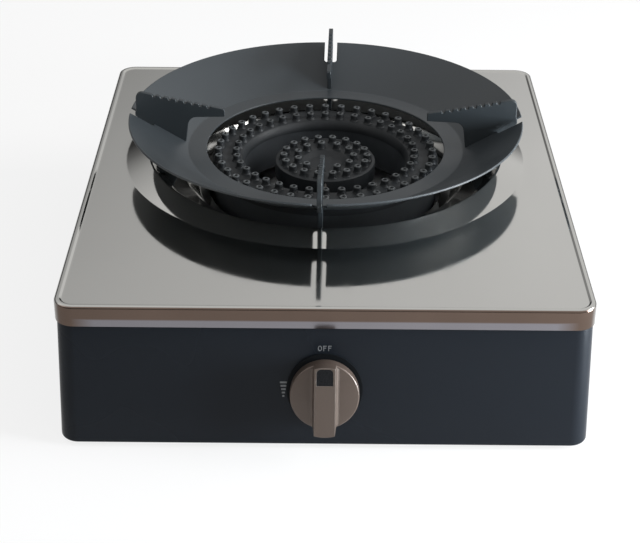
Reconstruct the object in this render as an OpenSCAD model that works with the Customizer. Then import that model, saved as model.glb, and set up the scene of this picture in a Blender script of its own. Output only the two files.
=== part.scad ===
// Tabletop gas hob with one burner, a bowl-shaped pan support and a push-and-turn knob.
// Millimetres, +Z up, front towards -Y, origin on the floor under the middle of the body.

/* [Top plate] */
// Width over the folded skirt
plate_w = 311.5; // [300:0.5:340]
// Depth over the folded skirt
plate_d = 357; // [350:1:400]
// Plan radius of the corners
plate_corner = 12; // [10:0.5:16]
// Thickness of the polished sheet
plate_t = 0.8; // [0.6:0.1:1]
// Height of the folded skirt
skirt_h = 13; // [10:0.5:16]
// Rise of the rolled edge above the flat
bead_h = 0.8; // [0.8:0.1:1.4]
// Radius at the toe of the hump round the burner
hump_r = 134.5; // [132:0.5:137]
// Height of the hump's crest above the flat
hump_h = 5; // [3:0.25:6]
// Depth of the well's outer edge below the flat
well_depth = 5.2; // [4:0.2:6]
// Fall of the well's floor from there to the burner
well_fall = 7; // [5:0.5:8]

/* [Casing] */
// Visible height of the casing below the skirt
casing_h = 70.9; // [68:0.1:80]
// Lean of the front panel from upright, in degrees
panel_lean = 12.4; // [11:0.2:13]
// Thickness of the casing and base sheets
casing_t = 0.8; // [0.6:0.1:1]
// Height of the feet below the casing
foot_h = 3; // [2.5:0.5:8]
// Radius of a foot
foot_r = 9; // [7:0.5:11]

/* [Pan support] */
// Outer radius of the bowl's rim
rim_r = 131.4; // [130:0.2:134]
// Height of the rim above the top plate
rim_rise = 28.2; // [26:0.2:32]
// Height of the flat ledge above the top plate
ledge_rise = 5.5; // [4.5:0.25:6.5]
// Radius of the flame opening
ledge_in_r = 80.4; // [79.6:0.2:83]
// Radius where the ledge meets the cone
ledge_out_r = 93.1; // [92:0.1:94]
// Thickness of the bowl's sheet
bowl_t = 1.4; // [1:0.1:1.8]
// Thickness of a fin
fin_t = 3; // [2.4:0.2:4]
// Width of a fin's leg
leg_w = 11.3; // [9:0.1:12]
// Number of grip notches on a fin
notch_count = 8; // [5:1:9]
// Turn of the support from square
support_turn = -1.8; // [-3:0.2:3]

/* [Burner] */
// Burner centre behind the middle of the body
burner_y = 28.3; // [27:0.1:29]
// Outer radius of the ring cap
ring_out_r = 77; // [75:0.5:78]
// Inner radius of the ring cap
ring_in_r = 54.5; // [53:0.5:55]
// Radius of the centre cap
centre_r = 34; // [32:0.5:36]
// Height of a flame nipple above its cap
nipple_h = 4.4; // [3:0.2:5]
// Outer radius of a flame nipple
nipple_r = 2.6; // [2.2:0.1:2.8]
// Radius of a flame hole
flame_hole_r = 1.1; // [0.8:0.1:1.3]

/* [Knob] */
// Diameter of the knob
knob_dia = 40; // [40:0.5:44]
// Depth of the knob's round part
knob_disc_h = 7.6; // [7:0.2:10]
// Reach of the grip bar beyond the round part
bar_reach = 9.6; // [9:0.2:12]
// Radius of the grip bar's ends
bar_r = 21.2; // [20.6:0.2:22]
// Width of the grip bar at its face
bar_face_w = 12.4; // [11.5:0.2:13.6]
// Width of the grip bar at its base
bar_base_w = 13.4; // [12.8:0.2:15]
// Radius of the fillet between the bar and the round part
bar_fillet = 2; // [1.4:0.2:2.4]
// Height of the knob's axis at the panel above the foot of the casing
knob_rise = 34; // [33:0.1:35]
// Free gap between the knob and the panel
knob_gap = 4; // [4:0.1:5]
// Travel when the knob is pushed in
push_travel = 3; // [2:0.1:3]

/* [Hidden] */
$fn = 72;

// Fits
run_gap = 0.05;
slide_gap = 0.3;
skirt_gap = 0.2;
lap = 0.5;

// Heights
casing_z = foot_h;
base_z = casing_z + casing_t;
base_top = base_z + casing_t;
skirt_z = casing_z + casing_h;
plate_top = skirt_z + skirt_h;
flat_z = plate_top - bead_h;
casing_top = flat_z - plate_t;
knob_z = casing_z + knob_rise;

// Plan sizes of the casing
case_w = plate_w - 2 * (plate_t + skirt_gap);
case_d = plate_d - 2 * (plate_t + skirt_gap);
case_corner = plate_corner - plate_t - skirt_gap;
front_y = -case_d / 2;
back_y = case_d / 2;
panel_y = front_y - (skirt_z - knob_z) * tan(panel_lean);
top_flange = 9;
foot_flange = 34;
foot_inset = 20;
foot_seat = 0.8;
edge_w = 8;

// Screws
screw_r = 1.7;
screw_head_r = 3.2;
screw_head_h = 1.6;
strip_t = 1.5;

// Pan support
rim_z = plate_top + rim_rise;
ledge_z = plate_top + ledge_rise;
slot_w = 9;
slot_in_r = rim_r - 15.7;
slit_in_r = ledge_out_r + 1.4;
cone_slope = (rim_z - ledge_z) / (rim_r - ledge_out_r);
leg_in_r = slit_in_r;
leg_out_r = leg_in_r + leg_w;
fin_tip_r = rim_r - 63.4;
fin_tip_z = plate_top + rim_rise + 2.5;
fin_end_r = rim_r - 3.8;
fin_lean = 0.198;
fin_round = 4;
notch_start = 9.6;
notch_run = 41.6;
notch_w = 2.4;
notch_d = 1.3;

// Top plate
well_r = leg_out_r + 3;
crest_r = well_r + 0.389 * (hump_r - well_r);
well_z = flat_z - well_depth;
well_hole_r = ring_out_r + 2.6;
well_slope = well_fall / (well_r - well_hole_r);
leg_clear = 0.02;

// Burner
ring_top = plate_top - 1.2;
centre_top = plate_top - 5.2;
ring_seat = plate_top - 8.6;
centre_seat = plate_top - 13;
trough_out_r = ring_out_r - 1;
trough_wall = 2;
trough_in_r = ring_in_r + 0.6;
trough_mid_r = (trough_in_r + trough_out_r) / 2;
trough_z = ring_seat - 25;
trough_floor = 3;
cup_r = centre_r - 2;
cup_wall = 2;
cup_z = centre_seat - 20;
row_outer_r = ring_out_r - 4.2;
row_inner_r = ring_in_r + 6;
tube_x = 17;
tube_outer_r = 13;
tube_inner_r = 11;
tube_wall = 3.5;
lug_w = 10;
lug_z = trough_z - 6;
lug_h = 10;
screw_bite = 2.4;

// Depths behind the outer face of the front panel, along the knob's axis
cam_d = 4.5;
cam_h = 3;
spring_d = cam_d + cam_h;
spring_len = 10;
bracket_d = spring_d + spring_len;
bracket_t = 2;
valve_d = bracket_d + bracket_t;
barrel_len = 29;
plug_len = 26;
plug_d = valve_d + 0.3;
inlet_d = valve_d + 15;
outlet_d = valve_d + 22;
block_d = valve_d + 18;
block_len = 16;
injector_d = block_d + block_len - 6;
injector_len = 16;
mouth_d = injector_d + injector_len + 6;
shutter_t = 1.2;
shutter_gap = 0.3;

// The knob's axis runs down to the valve's outlets, where the level axis of the jets and tubes begins
level_d = block_d + block_len / 2;
level_y = panel_y + level_d * cos(panel_lean);
tube_z = knob_z - level_d * sin(panel_lean);
mouth_y = level_y + mouth_d - level_d;
inlet_y = panel_y + inlet_d * cos(panel_lean);
inlet_z = knob_z - inlet_d * sin(panel_lean);

// Valve
plug_r = 8;
barrel_r = 13;
spindle_r = 4;
flat_up = 3;
spindle_end = valve_d + 7;
block_half = 25;
boss_end = 27;
cam_r = 8;
lobe_r = 10.4;
striker_r = 1.5;
striker_x = lobe_r + 0.6;
striker_len = 15;
igniter_x = 18;
igniter_w = 24;

// Gas supply
pipe_r = 4;
pipe_x = case_w / 2 - 44;
bend_r = 16;
nut_len = 10;
stem_r = 6.6;
union_len = 15;
inlet_nut_h = 5;
hose_r = 4.75;
hose_bore = 3;
knob_reach = knob_gap + knob_disc_h + bar_reach;
// As far behind the casing as the knob stands in front of it
hose_reach = knob_reach * cos(panel_lean) + bar_r * sin(panel_lean) + front_y - panel_y;

// Electrode
electrode_r = 44;
electrode_y = burner_y - electrode_r;
clip_z = cup_z + 7;
ceramic_r = 3.4;
lead_r = 2;

// Point list round an arc in the plane
function arc(c, r, a0, a1, n) =
    [for (i = [0:n]) c + r * [cos(a0 + (a1 - a0) * i / n), sin(a0 + (a1 - a0) * i / n)]];

function unit(v) = v / norm(v);

// Rounded corner at b between a and c
function fillet(a, b, c, r, n) =
    let (u = unit(a - b), v = unit(c - b), half = acos(u * v) / 2,
         mid = b + unit(u + v) * r / sin(half), p = b + u * r / tan(half), q = b + v * r / tan(half),
         a0 = atan2(p.y - mid.y, p.x - mid.x), raw = atan2(q.y - mid.y, q.x - mid.x) - a0,
         turn = raw > 180 ? raw - 360 : raw < -180 ? raw + 360 : raw)
    arc(mid, r, a0, a0 + turn, n);

// Open path with its inner corners rounded, r lists one radius a corner
function rounded_path(p, r, n = 5) =
    [p[0], for (i = [1:len(p) - 2]) each fillet(p[i - 1], p[i], p[i + 1], r[i - 1], n), p[len(p) - 1]];

function reversed(p) = [for (i = [len(p) - 1:-1:0]) p[i]];

// Outline of a sheet whose upper face follows a path
function sheet(p, t) = concat(p, [for (q = reversed(p)) q - [0, t]]);

// Smooth point on a run of control points
function glide(p, i, s) =
    let (a = p[max(i - 1, 0)], b = p[i], c = p[i + 1], d = p[min(i + 2, len(p) - 1)])
    0.5 * (2 * b + (c - a) * s + (2 * a - 5 * b + 4 * c - d) * s * s + (3 * b - a - 3 * c + d) * s * s * s);

module rounded_rect(w, d, r) {
    square([w, d - 2 * r], center = true);
    square([w - 2 * r, d], center = true);
    for (x = [-1, 1], y = [-1, 1])
        translate([x * (w / 2 - r), y * (d / 2 - r)]) circle(r);
}

// Solid tube round a list of points, closed at both ends
module wire(path, r, sides, side_ref) {
    n = len(path);
    dirs = [for (i = [0:n - 1]) unit(path[min(i + 1, n - 1)] - path[max(i - 1, 0)])];
    ring = [for (i = [0:n - 1]) let (u = unit(cross(dirs[i], side_ref)), v = cross(dirs[i], u))
        for (k = [0:sides - 1]) path[i] + r * (cos(360 * k / sides) * u + sin(360 * k / sides) * v)];
    skin = [for (i = [0:n - 2], k = [0:sides - 1])
        let (a = i * sides + k, b = i * sides + (k + 1) % sides)
        each [[a, b, a + sides], [b, b + sides, a + sides]]];
    ends = [for (k = [1:sides - 2]) each [[0, k + 1, k],
        [(n - 1) * sides, (n - 1) * sides + k, (n - 1) * sides + k + 1]]];
    polyhedron(ring, concat(skin, ends));
}

// Local frame of the knob: x right, y up, z out of the front panel
module on_panel() {
    translate([0, panel_y, knob_z]) rotate([90 - panel_lean, 0, 0]) children();
}

// The same frame laid level about the middle of the valve's block
module on_level() {
    translate([0, level_y - level_d, tube_z]) rotate([90, 0, 0]) children();
}

// Round bar in the panel frame, from one depth to another
module bar_in(r, from, to) {
    translate([0, 0, -to]) cylinder(r = r, h = to - from);
}

// Round bar across the panel frame
module bar_across(r, from, to, depth) {
    translate([from, 0, -depth]) rotate([0, 90, 0]) cylinder(r = r, h = to - from);
}

module at_burner() {
    translate([0, burner_y, 0]) children();
}

// Pan-head screw pointing up from its seat
module screw(len, r = screw_r) {
    translate([0, 0, -lap]) cylinder(r = r, h = len + lap);
    rotate_extrude() polygon(concat([[0, 0], [screw_head_r, 0]],
        arc([screw_head_r - 1, -screw_head_h + 1], 1, 0, -90, 4), [[0, -screw_head_h]]));
}

module foot_places() {
    for (x = [-1, 1], y = [-1, 1])
        translate([x * (case_w / 2 - foot_inset), y * (case_d / 2 - foot_inset), 0]) children();
}

module base_screw_places() {
    for (x = [-1, 1], y = [-0.5, 0.5]) translate([x * (case_w / 2 - 10), y * case_d / 2, 0]) children();
    for (y = [-1, 1]) translate([0, y * (case_d / 2 - 10), 0]) children();
}

module plate_screw_places() {
    for (x = [-1, 1])
        translate([x * case_w / 3, back_y, plate_top - skirt_h * 0.55]) rotate([90, 0, 0]) children();
}

module panel_screw_places() {
    for (y = [-1, 1]) translate([0, y * 13, 0]) children();
}

// Space between two heights in the casing's walls, upright at the back and leaning at the front
module case_space(inset, from, to) {
    w = case_w - 2 * inset;
    r = case_corner - inset;
    far = 2 * case_d;
    intersection() {
        translate([0, back_y - inset - far / 2, from]) linear_extrude(to - from) rounded_rect(w, far, r);
        translate([0, front_y, skirt_z]) rotate([-panel_lean, 0, 0]) translate([0, inset + far / 2, -far / 2])
            linear_extrude(far) rounded_rect(w, far, r);
    }
}

// Painted casing, open at top and bottom inside its flanges
module casing() {
    color("#23262b") difference() {
        case_space(0, casing_z, casing_top);
        case_space(casing_t, base_z, casing_top - casing_t);
        translate([0, 0, casing_z - 1]) linear_extrude(casing_h)
            rounded_rect(case_w - 2 * foot_flange, case_d - 2 * foot_flange, 6);
        translate([0, 0, skirt_z - 10]) linear_extrude(50)
            rounded_rect(case_w - 2 * top_flange, case_d - 2 * top_flange, 5);
        on_panel() {
            bar_in(7, -1, casing_t + 1);
            panel_screw_places() bar_in(screw_r, -1, casing_t + 1);
        }
        translate([-pipe_x, back_y + 1, inlet_z]) rotate([90, 0, 0])
            cylinder(r = stem_r, h = casing_t + 2);
        plate_screw_places() translate([0, 0, -2]) cylinder(r = screw_r, h = casing_t + 4);
        foot_places() translate([0, 0, casing_z - 1]) cylinder(r = screw_r, h = casing_t + 2);
        base_screw_places() translate([0, 0, casing_z - 1]) cylinder(r = screw_r, h = casing_t + 2);
        for (i = [0:9], z = [0, 1])
            translate([-40 + 13 * i, back_y - casing_t - 1, base_top + 20 + 22 * z])
                cube([4, casing_t + 2, 14]);
    }
}

// Pressed base sheet with air holes under the burner
module base_plate() {
    gap = casing_t + slide_gap;
    color("#8d9296") difference() {
        translate([0, 0, base_z]) linear_extrude(casing_t)
            rounded_rect(case_w - 2 * gap, case_d - 2 * gap, case_corner - gap);
        foot_places() translate([0, 0, base_z - 1]) cylinder(r = screw_r, h = casing_t + 2);
        base_screw_places() translate([0, 0, base_z - 1]) cylinder(r = screw_r, h = casing_t + 2);
        bracket_places() base_tab_hole()
            translate([0, 0, base_z - 1]) cylinder(r = screw_r, h = casing_t + 2);
        at_burner() for (k = [1:3], i = [0:6 * k - 1])
            rotate([0, 0, 60 / k * (i + 0.5)])
                translate([15 * k, 0, base_z - 1]) cylinder(r = 5, h = casing_t + 2);
    }
}

// Section through the rolled edge and skirt, inward towards the axis
module edge_section() {
    r = 1.8;
    out = plate_corner;
    polygon(concat([[out, -skirt_h]],
        arc([out - r, -r], r, 0, 90, 4),
        arc([out - 3, -0.4], 0.4, 90, 135, 2),
        [[out - 3.4 - bead_h, -bead_h], [out - edge_w, -bead_h], [out - edge_w, -bead_h - plate_t],
         [out - 2.8 - bead_h, -bead_h - plate_t]],
        arc([out - r, -r - 0.3], r - plate_t, 110, 0, 4), [[out - plate_t, -skirt_h]]));
}

// Height of the well's sloping floor
function well_floor(r) = well_z - well_slope * (well_r - r);

// Polished plate: rolled edge, folded skirt, hump, well and burner opening
module top_plate() {
    hump_edge = hump_r + 4;
    hump = rounded_path([[hump_edge, flat_z], [hump_r, flat_z], [crest_r, flat_z + hump_h],
        [well_r, well_z], [well_hole_r, well_floor(well_hole_r)]], [12, 1.6, 2], 6);
    under = [for (q = reversed(hump)) q - [0, plate_t]];
    spans = [plate_w - 2 * plate_corner, plate_d - 2 * plate_corner];
    color("#b9bab6") difference() {
        union() {
            for (i = [0:3])
                translate([(i == 0 || i == 3 ? 1 : -1) * spans.x / 2,
                        (i < 2 ? 1 : -1) * spans.y / 2, plate_top])
                    rotate([0, 0, 90 * i]) {
                        rotate_extrude(angle = 90) edge_section();
                        translate([0, -spans[(i + 1) % 2], 0]) rotate([90, 0, 0]) mirror([0, 0, 1])
                            linear_extrude(spans[(i + 1) % 2]) edge_section();
                    }
            difference() {
                translate([0, 0, casing_top]) linear_extrude(plate_t)
                    rounded_rect(plate_w - 2 * edge_w, plate_d - 2 * edge_w, plate_corner - edge_w);
                at_burner() translate([0, 0, casing_top - 1])
                    cylinder(r = hump_edge, h = plate_t + 2, $fn = 144);
            }
            at_burner() rotate_extrude($fn = 144) polygon(concat(hump, under));
        }
        plate_screw_places() translate([0, 0, -4]) cylinder(r = screw_r, h = 8);
    }
}

// Rubber foot with a sunk place for its screw
module foot(x, y) {
    color("#1c1c1d") translate([x * (case_w / 2 - foot_inset), y * (case_d / 2 - foot_inset), 0])
        difference() {
            rotate_extrude()
                polygon([[0, 0], [foot_r - 1, 0], [foot_r - 0.4, 0.6], [foot_r, foot_h], [0, foot_h]]);
            translate([0, 0, -1]) cylinder(r = screw_head_r + 0.5, h = foot_h - foot_seat + 1);
            cylinder(r = screw_r, h = foot_h + 1);
        }
}

module foot_front_left() { foot(-1, -1); }
module foot_front_right() { foot(1, -1); }
module foot_back_left() { foot(-1, 1); }
module foot_back_right() { foot(1, 1); }

module foot_screws() {
    color("#9a9c9e") foot_places()
        translate([0, 0, foot_h - foot_seat]) screw(base_top - foot_h + foot_seat + 2);
}

module base_screws() {
    color("#9a9c9e") base_screw_places() translate([0, 0, casing_z]) screw(2 * casing_t + 2, screw_r);
}

module plate_screws() {
    color("#9a9c9e") plate_screw_places() translate([0, 0, -skirt_gap - plate_t]) screw(2 * plate_t + 4);
}

// Bowl sheet with rim slots and slits for the fins
module support_bowl() {
    bowl = rounded_path([[rim_r, rim_z], [ledge_out_r, ledge_z], [ledge_in_r, ledge_z]], [2], 4);
    color("#3c4143") at_burner() rotate([0, 0, support_turn]) difference() {
        rotate_extrude($fn = 144) polygon(sheet(bowl, bowl_t));
        for (a = [0:90:270]) rotate([0, 0, a]) translate([0, 0, ledge_z - 5]) {
            linear_extrude(rim_rise) rim_slot();
            translate([slit_in_r, -fin_t / 2, 0]) cube([slot_in_r - slit_in_r + 1, fin_t, rim_rise]);
        }
    }
}

module rim_slot() {
    r = 2;
    translate([slot_in_r + r, -slot_w / 2]) square([20, slot_w]);
    translate([slot_in_r, -slot_w / 2 + r]) square([20, slot_w - 2 * r]);
    for (y = [-1, 1]) translate([slot_in_r + r, y * (slot_w / 2 - r)]) circle(r);
}

function cone_z(r) = ledge_z + (r - ledge_out_r) * cone_slope;

function fin_top(r) = fin_tip_z + fin_lean * (r - fin_tip_r);

function leg_z(r) = well_floor(r) + leg_clear;

// Fin outline: r outwards, z up
function fin_outline() =
    let (under = bowl_t + 3, tip_low = fin_tip_z - 5.4, pitch = notch_run / notch_count,
         end_top = [fin_end_r, fin_top(fin_end_r)])
    concat(
        [[fin_tip_r, tip_low], [fin_tip_r, fin_tip_z - 0.8], [fin_tip_r + 0.8, fin_top(fin_tip_r + 0.8)]],
        [for (i = [0:notch_count - 1]) let (r = fin_tip_r + notch_start + pitch * i)
            each [[r, fin_top(r)], [r + 0.2 * notch_w, fin_top(r) - notch_d],
                [r + 0.8 * notch_w, fin_top(r) - notch_d], [r + notch_w, fin_top(r + notch_w)]]],
        fillet([fin_tip_r, fin_top(fin_tip_r)], end_top, [fin_end_r, rim_z], fin_round, 5),
        [[fin_end_r, rim_z + 1], [rim_r - 3, rim_z - 1], [rim_r - 3, rim_z - 3.4],
         [slot_in_r + 1.2, cone_z(slot_in_r) - under], [leg_out_r, cone_z(leg_out_r) - under],
         [leg_out_r, leg_z(leg_out_r) + 2], [leg_out_r - 2, leg_z(leg_out_r - 2)],
         [leg_in_r + 2, leg_z(leg_in_r + 2)], [leg_in_r, leg_z(leg_in_r) + 2],
         [leg_in_r, ledge_z + 1]],
        fillet([ledge_out_r + 0.6, ledge_z + 2], [ledge_out_r - 0.6, tip_low - 0.9], [fin_tip_r, tip_low],
            6, 5));

module fin(a) {
    color("#2a2d2f") at_burner() rotate([0, 0, support_turn + a]) rotate([90, 0, 0])
        translate([0, 0, -fin_t / 2]) linear_extrude(fin_t) polygon(fin_outline());
}

module fin_right() { fin(0); }
module fin_back() { fin(90); }
module fin_left() { fin(180); }
module fin_front() { fin(270); }

// Ring casting: trough, mixing tube and riser
module burner_ring() {
    riser_y = burner_y - sqrt(pow(trough_mid_r, 2) - tube_x * tube_x);
    inside = [trough_in_r + trough_wall, trough_out_r - trough_wall];
    color("#3a3b3c") difference() {
        union() {
            at_burner() rotate_extrude() polygon([[trough_in_r, trough_z + 3], [trough_in_r + 3, trough_z],
                [trough_out_r - 3, trough_z], [trough_out_r, trough_z + 3], [trough_out_r, ring_seat],
                [trough_in_r, ring_seat]]);
            tube(tube_x, mouth_y, riser_y, tube_outer_r);
        }
        at_burner() rotate_extrude()
            polygon([[inside[0], trough_z + trough_floor], [inside[1], trough_z + trough_floor],
                [inside[1], ring_seat + 1], [inside[0], ring_seat + 1]]);
        bracket_places() trough_screw_hole();
        lug_places() trough_screw_hole();
        tube_bore(tube_x, mouth_y, riser_y, tube_outer_r - tube_wall, trough_z + 4, 7);
    }
}

module trough_screw_hole() {
    translate([0, 0, trough_z - 1]) cylinder(r = screw_r, h = 1 + screw_bite);
}

// Cup casting: cup, three lugs under the trough, mixing tube and riser
module burner_cup() {
    inner_y = burner_y - 4;
    root = cup_r - 2;
    color("#3a3b3c") difference() {
        union() {
            at_burner() translate([0, 0, cup_z]) cylinder(r = cup_r, h = centre_seat - cup_z);
            lug_places() translate([-trough_mid_r, -lug_w / 2, lug_z]) {
                translate([root, 0, 0]) cube([trough_in_r - 0.5 - root, lug_w, lug_h]);
                translate([root, 0, 0]) cube([trough_mid_r + 6 - root, lug_w, trough_z - lug_z]);
            }
            tube(-tube_x, mouth_y, inner_y, tube_inner_r);
        }
        at_burner() translate([0, 0, cup_z + 3]) cylinder(r = cup_r - cup_wall, h = centre_seat - cup_z);
        lug_places() translate([0, 0, lug_z - 1]) cylinder(r = screw_r, h = trough_z - lug_z + 2);
        tube_bore(-tube_x, mouth_y, inner_y, tube_inner_r - tube_wall, cup_z + 4, 7);
    }
}

module tube(x, from, to, r) {
    translate([x, from, tube_z]) rotate([-90, 0, 0]) cylinder(r = r, h = to - from + 6);
    translate([x, to, tube_z]) cylinder(r = r - 2, h = trough_z + 2 - tube_z);
}

module tube_bore(x, from, to, r, top, riser_r) {
    translate([x, from + 2, tube_z]) rotate([-90, 0, 0]) cylinder(r = r, h = to - from);
    translate([x, to, tube_z]) cylinder(r = riser_r, h = top - tube_z);
    translate([x, from - 1, tube_z]) rotate([-90, 0, 0]) air_ports(r, 4);
}

// Jet hole with two air holes beside it, r is the bore of the tube
module air_ports(r, h) {
    cylinder(r = r * 0.34, h = h);
    for (s = [-1, 1]) translate([s * r * 0.68, 0, 0]) cylinder(r = r * 0.26, h = h);
}

// Hollow flame nipples in one row
module nipple_row(count, r, from, top, bore) {
    for (i = [0:count - 1]) rotate([0, 0, 360 * i / count]) translate([r, 0, from])
        cylinder(r = bore ? flame_hole_r : nipple_r, h = top - from, $fn = 24);
}

// Ring cap with two rows of nipples and a shallow valley between them
module ring_cap() {
    mid_r = (row_outer_r + row_inner_r) / 2;
    chamber_out_r = trough_out_r - trough_wall;
    spigot_r = trough_in_r + trough_wall + slide_gap;
    top = ring_top + nipple_h;
    color("#25292b") at_burner() difference() {
        union() {
            rotate_extrude($fn = 120) polygon(concat([[ring_in_r, ring_seat]],
                rounded_path([[ring_in_r, ring_seat + 3.4], [ring_in_r + 2.2, ring_top - 0.8],
                    [row_inner_r, ring_top], [mid_r, ring_top - 1.4], [row_outer_r, ring_top],
                    [ring_out_r, ring_top - 2.4], [ring_out_r, ring_seat + 1]], [2, 4, 4, 4, 1.4], 3),
                [[ring_out_r, ring_seat], [chamber_out_r, ring_seat], [chamber_out_r, ring_top - 4.4],
                 [spigot_r + 1.4, ring_top - 4.4], [spigot_r + 1.4, ring_seat - 3],
                 [spigot_r, ring_seat - 3], [spigot_r, ring_seat - 0.4],
                 [spigot_r - slide_gap, ring_seat]]));
            nipple_row(40, row_outer_r, ring_top - 2.6, top, false);
            nipple_row(36, row_inner_r, ring_top - 2.6, top - 0.4, false);
        }
        nipple_row(40, row_outer_r, ring_seat - 4, top + 1, true);
        nipple_row(36, row_inner_r, ring_seat - 4, top + 1, true);
    }
}

// Centre cap with two rows of nipples, a raised lip and a dished middle
module centre_cap() {
    row_a = centre_r - 5.6;
    row_b = centre_r - 14.8;
    top = centre_top + nipple_h;
    skirt_r = cup_r + slide_gap;
    chamber_r = cup_r - cup_wall;
    color("#25292b") at_burner() difference() {
        union() {
            rotate_extrude($fn = 96) polygon(concat([[0, centre_top - 3]],
                rounded_path([[row_b - 8, centre_top - 3], [row_b - 4, centre_top - 0.2],
                    [row_b, centre_top], [row_a + 2, centre_top - 0.6], [centre_r - 2, centre_top + 0.4],
                    [centre_r, centre_top - 0.2], [centre_r, centre_seat + 1]], [2, 3, 4, 0.8, 0.6], 3),
                [[centre_r, centre_seat - 3], [skirt_r, centre_seat - 3], [skirt_r, centre_seat],
                 [chamber_r, centre_seat], [chamber_r - 0.4, centre_top - 6], [0, centre_top - 6]]));
            nipple_row(18, row_a, centre_top - 2, top, false);
            nipple_row(11, row_b, centre_top - 2, top, false);
        }
        nipple_row(18, row_a, centre_seat - 4, top + 1, true);
        nipple_row(11, row_b, centre_seat - 4, top + 1, true);
    }
}

module bracket_places() {
    at_burner() for (a = [0, 180]) rotate([0, 0, a]) translate([trough_mid_r, 0, 0]) children();
}

module lug_places() {
    at_burner() for (a = [90, 210, 330]) rotate([0, 0, a]) translate([trough_mid_r, 0, 0]) children();
}

module base_tab_hole() {
    translate([18, 0, 0]) children();
}

// Bent strip that carries the burner on the base sheet
module bracket(a) {
    w = 24;
    t = strip_t;
    foot_len = 26;
    color("#8d9296") at_burner() rotate([0, 0, a]) translate([trough_mid_r, 0, 0]) difference() {
        union() {
            translate([-7, -w / 2, trough_z - t]) cube([14, w, t]);
            translate([7 - t, -w / 2, base_top]) cube([t, w, trough_z - base_top]);
            translate([7 - t, -w / 2, base_top]) cube([foot_len - 7, w, t]);
        }
        translate([0, 0, trough_z - t - 1]) cylinder(r = screw_r, h = t + 2);
        base_tab_hole() translate([0, 0, base_top - 1]) cylinder(r = screw_r, h = t + 2);
    }
}

module bracket_right() { bracket(0); }
module bracket_left() { bracket(180); }

module burner_screws() {
    tip_gap = 0.3;
    color("#9a9c9e") {
        bracket_places() {
            translate([0, 0, trough_z - strip_t]) screw(strip_t + screw_bite - tip_gap);
            base_tab_hole() translate([0, 0, base_z]) screw(casing_t + strip_t + 2.2);
        }
        lug_places() translate([0, 0, lug_z]) screw(trough_z - lug_z + screw_bite - tip_gap);
    }
}

// Turning air shutter on the mouth of a mixing tube
module shutter(x, r) {
    color("#a7a39a") translate([x, mouth_y - shutter_gap - shutter_t, tube_z]) rotate([-90, 0, 0])
        difference() {
            union() {
                cylinder(r = r + 2, h = shutter_t + shutter_gap + 8);
                translate([-4, -r - 13, 0]) cube([8, 12, shutter_t]);
            }
            translate([0, 0, shutter_t]) cylinder(r = r + run_gap, h = 20);
            translate([0, 0, -1]) air_ports(r - tube_wall, 5);
        }
}

module shutter_outer() { shutter(tube_x, tube_outer_r); }
module shutter_inner() { shutter(-tube_x, tube_inner_r); }

// Brass jet screwed into the valve
module injector(x, jet_r) {
    color("#b08d4a") on_level() translate([x, 0, -injector_d]) rotate([180, 0, 0]) difference() {
        union() {
            cylinder(r = 4, h = 6);
            translate([0, 0, 6]) cylinder(r = 5.4, h = 4, $fn = 6);
            translate([0, 0, 10]) cylinder(r1 = 3.6, r2 = 2.4, h = injector_len - 10);
        }
        translate([0, 0, -1]) cylinder(r = 2.2, h = injector_len - 2);
        cylinder(r = jet_r, h = injector_len + 1);
    }
}

module injector_outer() { injector(tube_x, 0.5); }
module injector_inner() { injector(-tube_x, 0.35); }

// Die-cast valve: barrel, outlet block and inlet boss
module valve_body() {
    color("#a3a6a8") difference() {
        union() {
            on_panel() bar_in(barrel_r, valve_d, valve_d + barrel_len);
            on_panel() bar_across(7, -boss_end, -5, inlet_d);
            on_level() translate([-block_half, -8, -block_d - block_len])
                cube([2 * block_half, 16, block_len]);
        }
        on_panel() {
            bar_in(plug_r, valve_d - 1, plug_d + plug_len + 0.3);
            bar_across(3, -boss_end - 1, 0, inlet_d);
            bar_across(2.5, -tube_x - 2, tube_x + 2, outlet_d);
            for (s = [-1, 1]) translate([s * 10.5, 0, 0]) bar_in(1.25, valve_d - 1, valve_d + 6);
        }
        on_level() for (s = [-1, 1]) translate([s * tube_x, 0, 0]) {
            bar_in(2.2, outlet_d, injector_d + 1);
            bar_in(4, injector_d, block_d + block_len + 1);
        }
    }
}

// Ported plug that opens the gas way a quarter turn from off
module valve_plug() {
    color("#b08d4a") on_panel() difference() {
        bar_in(plug_r - run_gap, plug_d, plug_d + plug_len);
        difference() {
            bar_in(spindle_r + run_gap, plug_d - 1, spindle_end + push_travel + 1);
            translate([-10, flat_up + run_gap, -80]) cube([20, 10, 80]);
        }
        bar_in(3.4, spindle_end + push_travel + 3, plug_d + plug_len + 1);
        translate([0, 0, -inlet_d]) rotate([-90, 0, 0]) cylinder(r = 2.4, h = plug_r + 1);
        bar_across(2.2, -plug_r - 1, plug_r + 1, outlet_d);
    }
}

// Spindle with its cam, flats at both ends
module spindle() {
    out = knob_gap + knob_disc_h;
    color("#8f9294") on_panel() {
        difference() {
            translate([0, 0, -spindle_end]) cylinder(r = spindle_r, h = spindle_end + out);
            translate([-10, flat_up, -spindle_end - 1])
                cube([20, 10, spindle_end - bracket_d + push_travel + 1]);
            translate([-10, flat_up, knob_gap]) cube([20, 10, knob_disc_h + 1]);
        }
        difference() {
            union() {
                bar_in(cam_r, cam_d, cam_d + cam_h);
                translate([0, -2.5, -cam_d - cam_h]) intersection() {
                    cube([lobe_r, 5, cam_h]);
                    translate([0, 2.5, 0]) cylinder(r = lobe_r, h = cam_h);
                }
            }
            bar_in(spindle_r - 1, cam_d - 1, cam_d + cam_h + 1);
        }
    }
}

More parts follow.
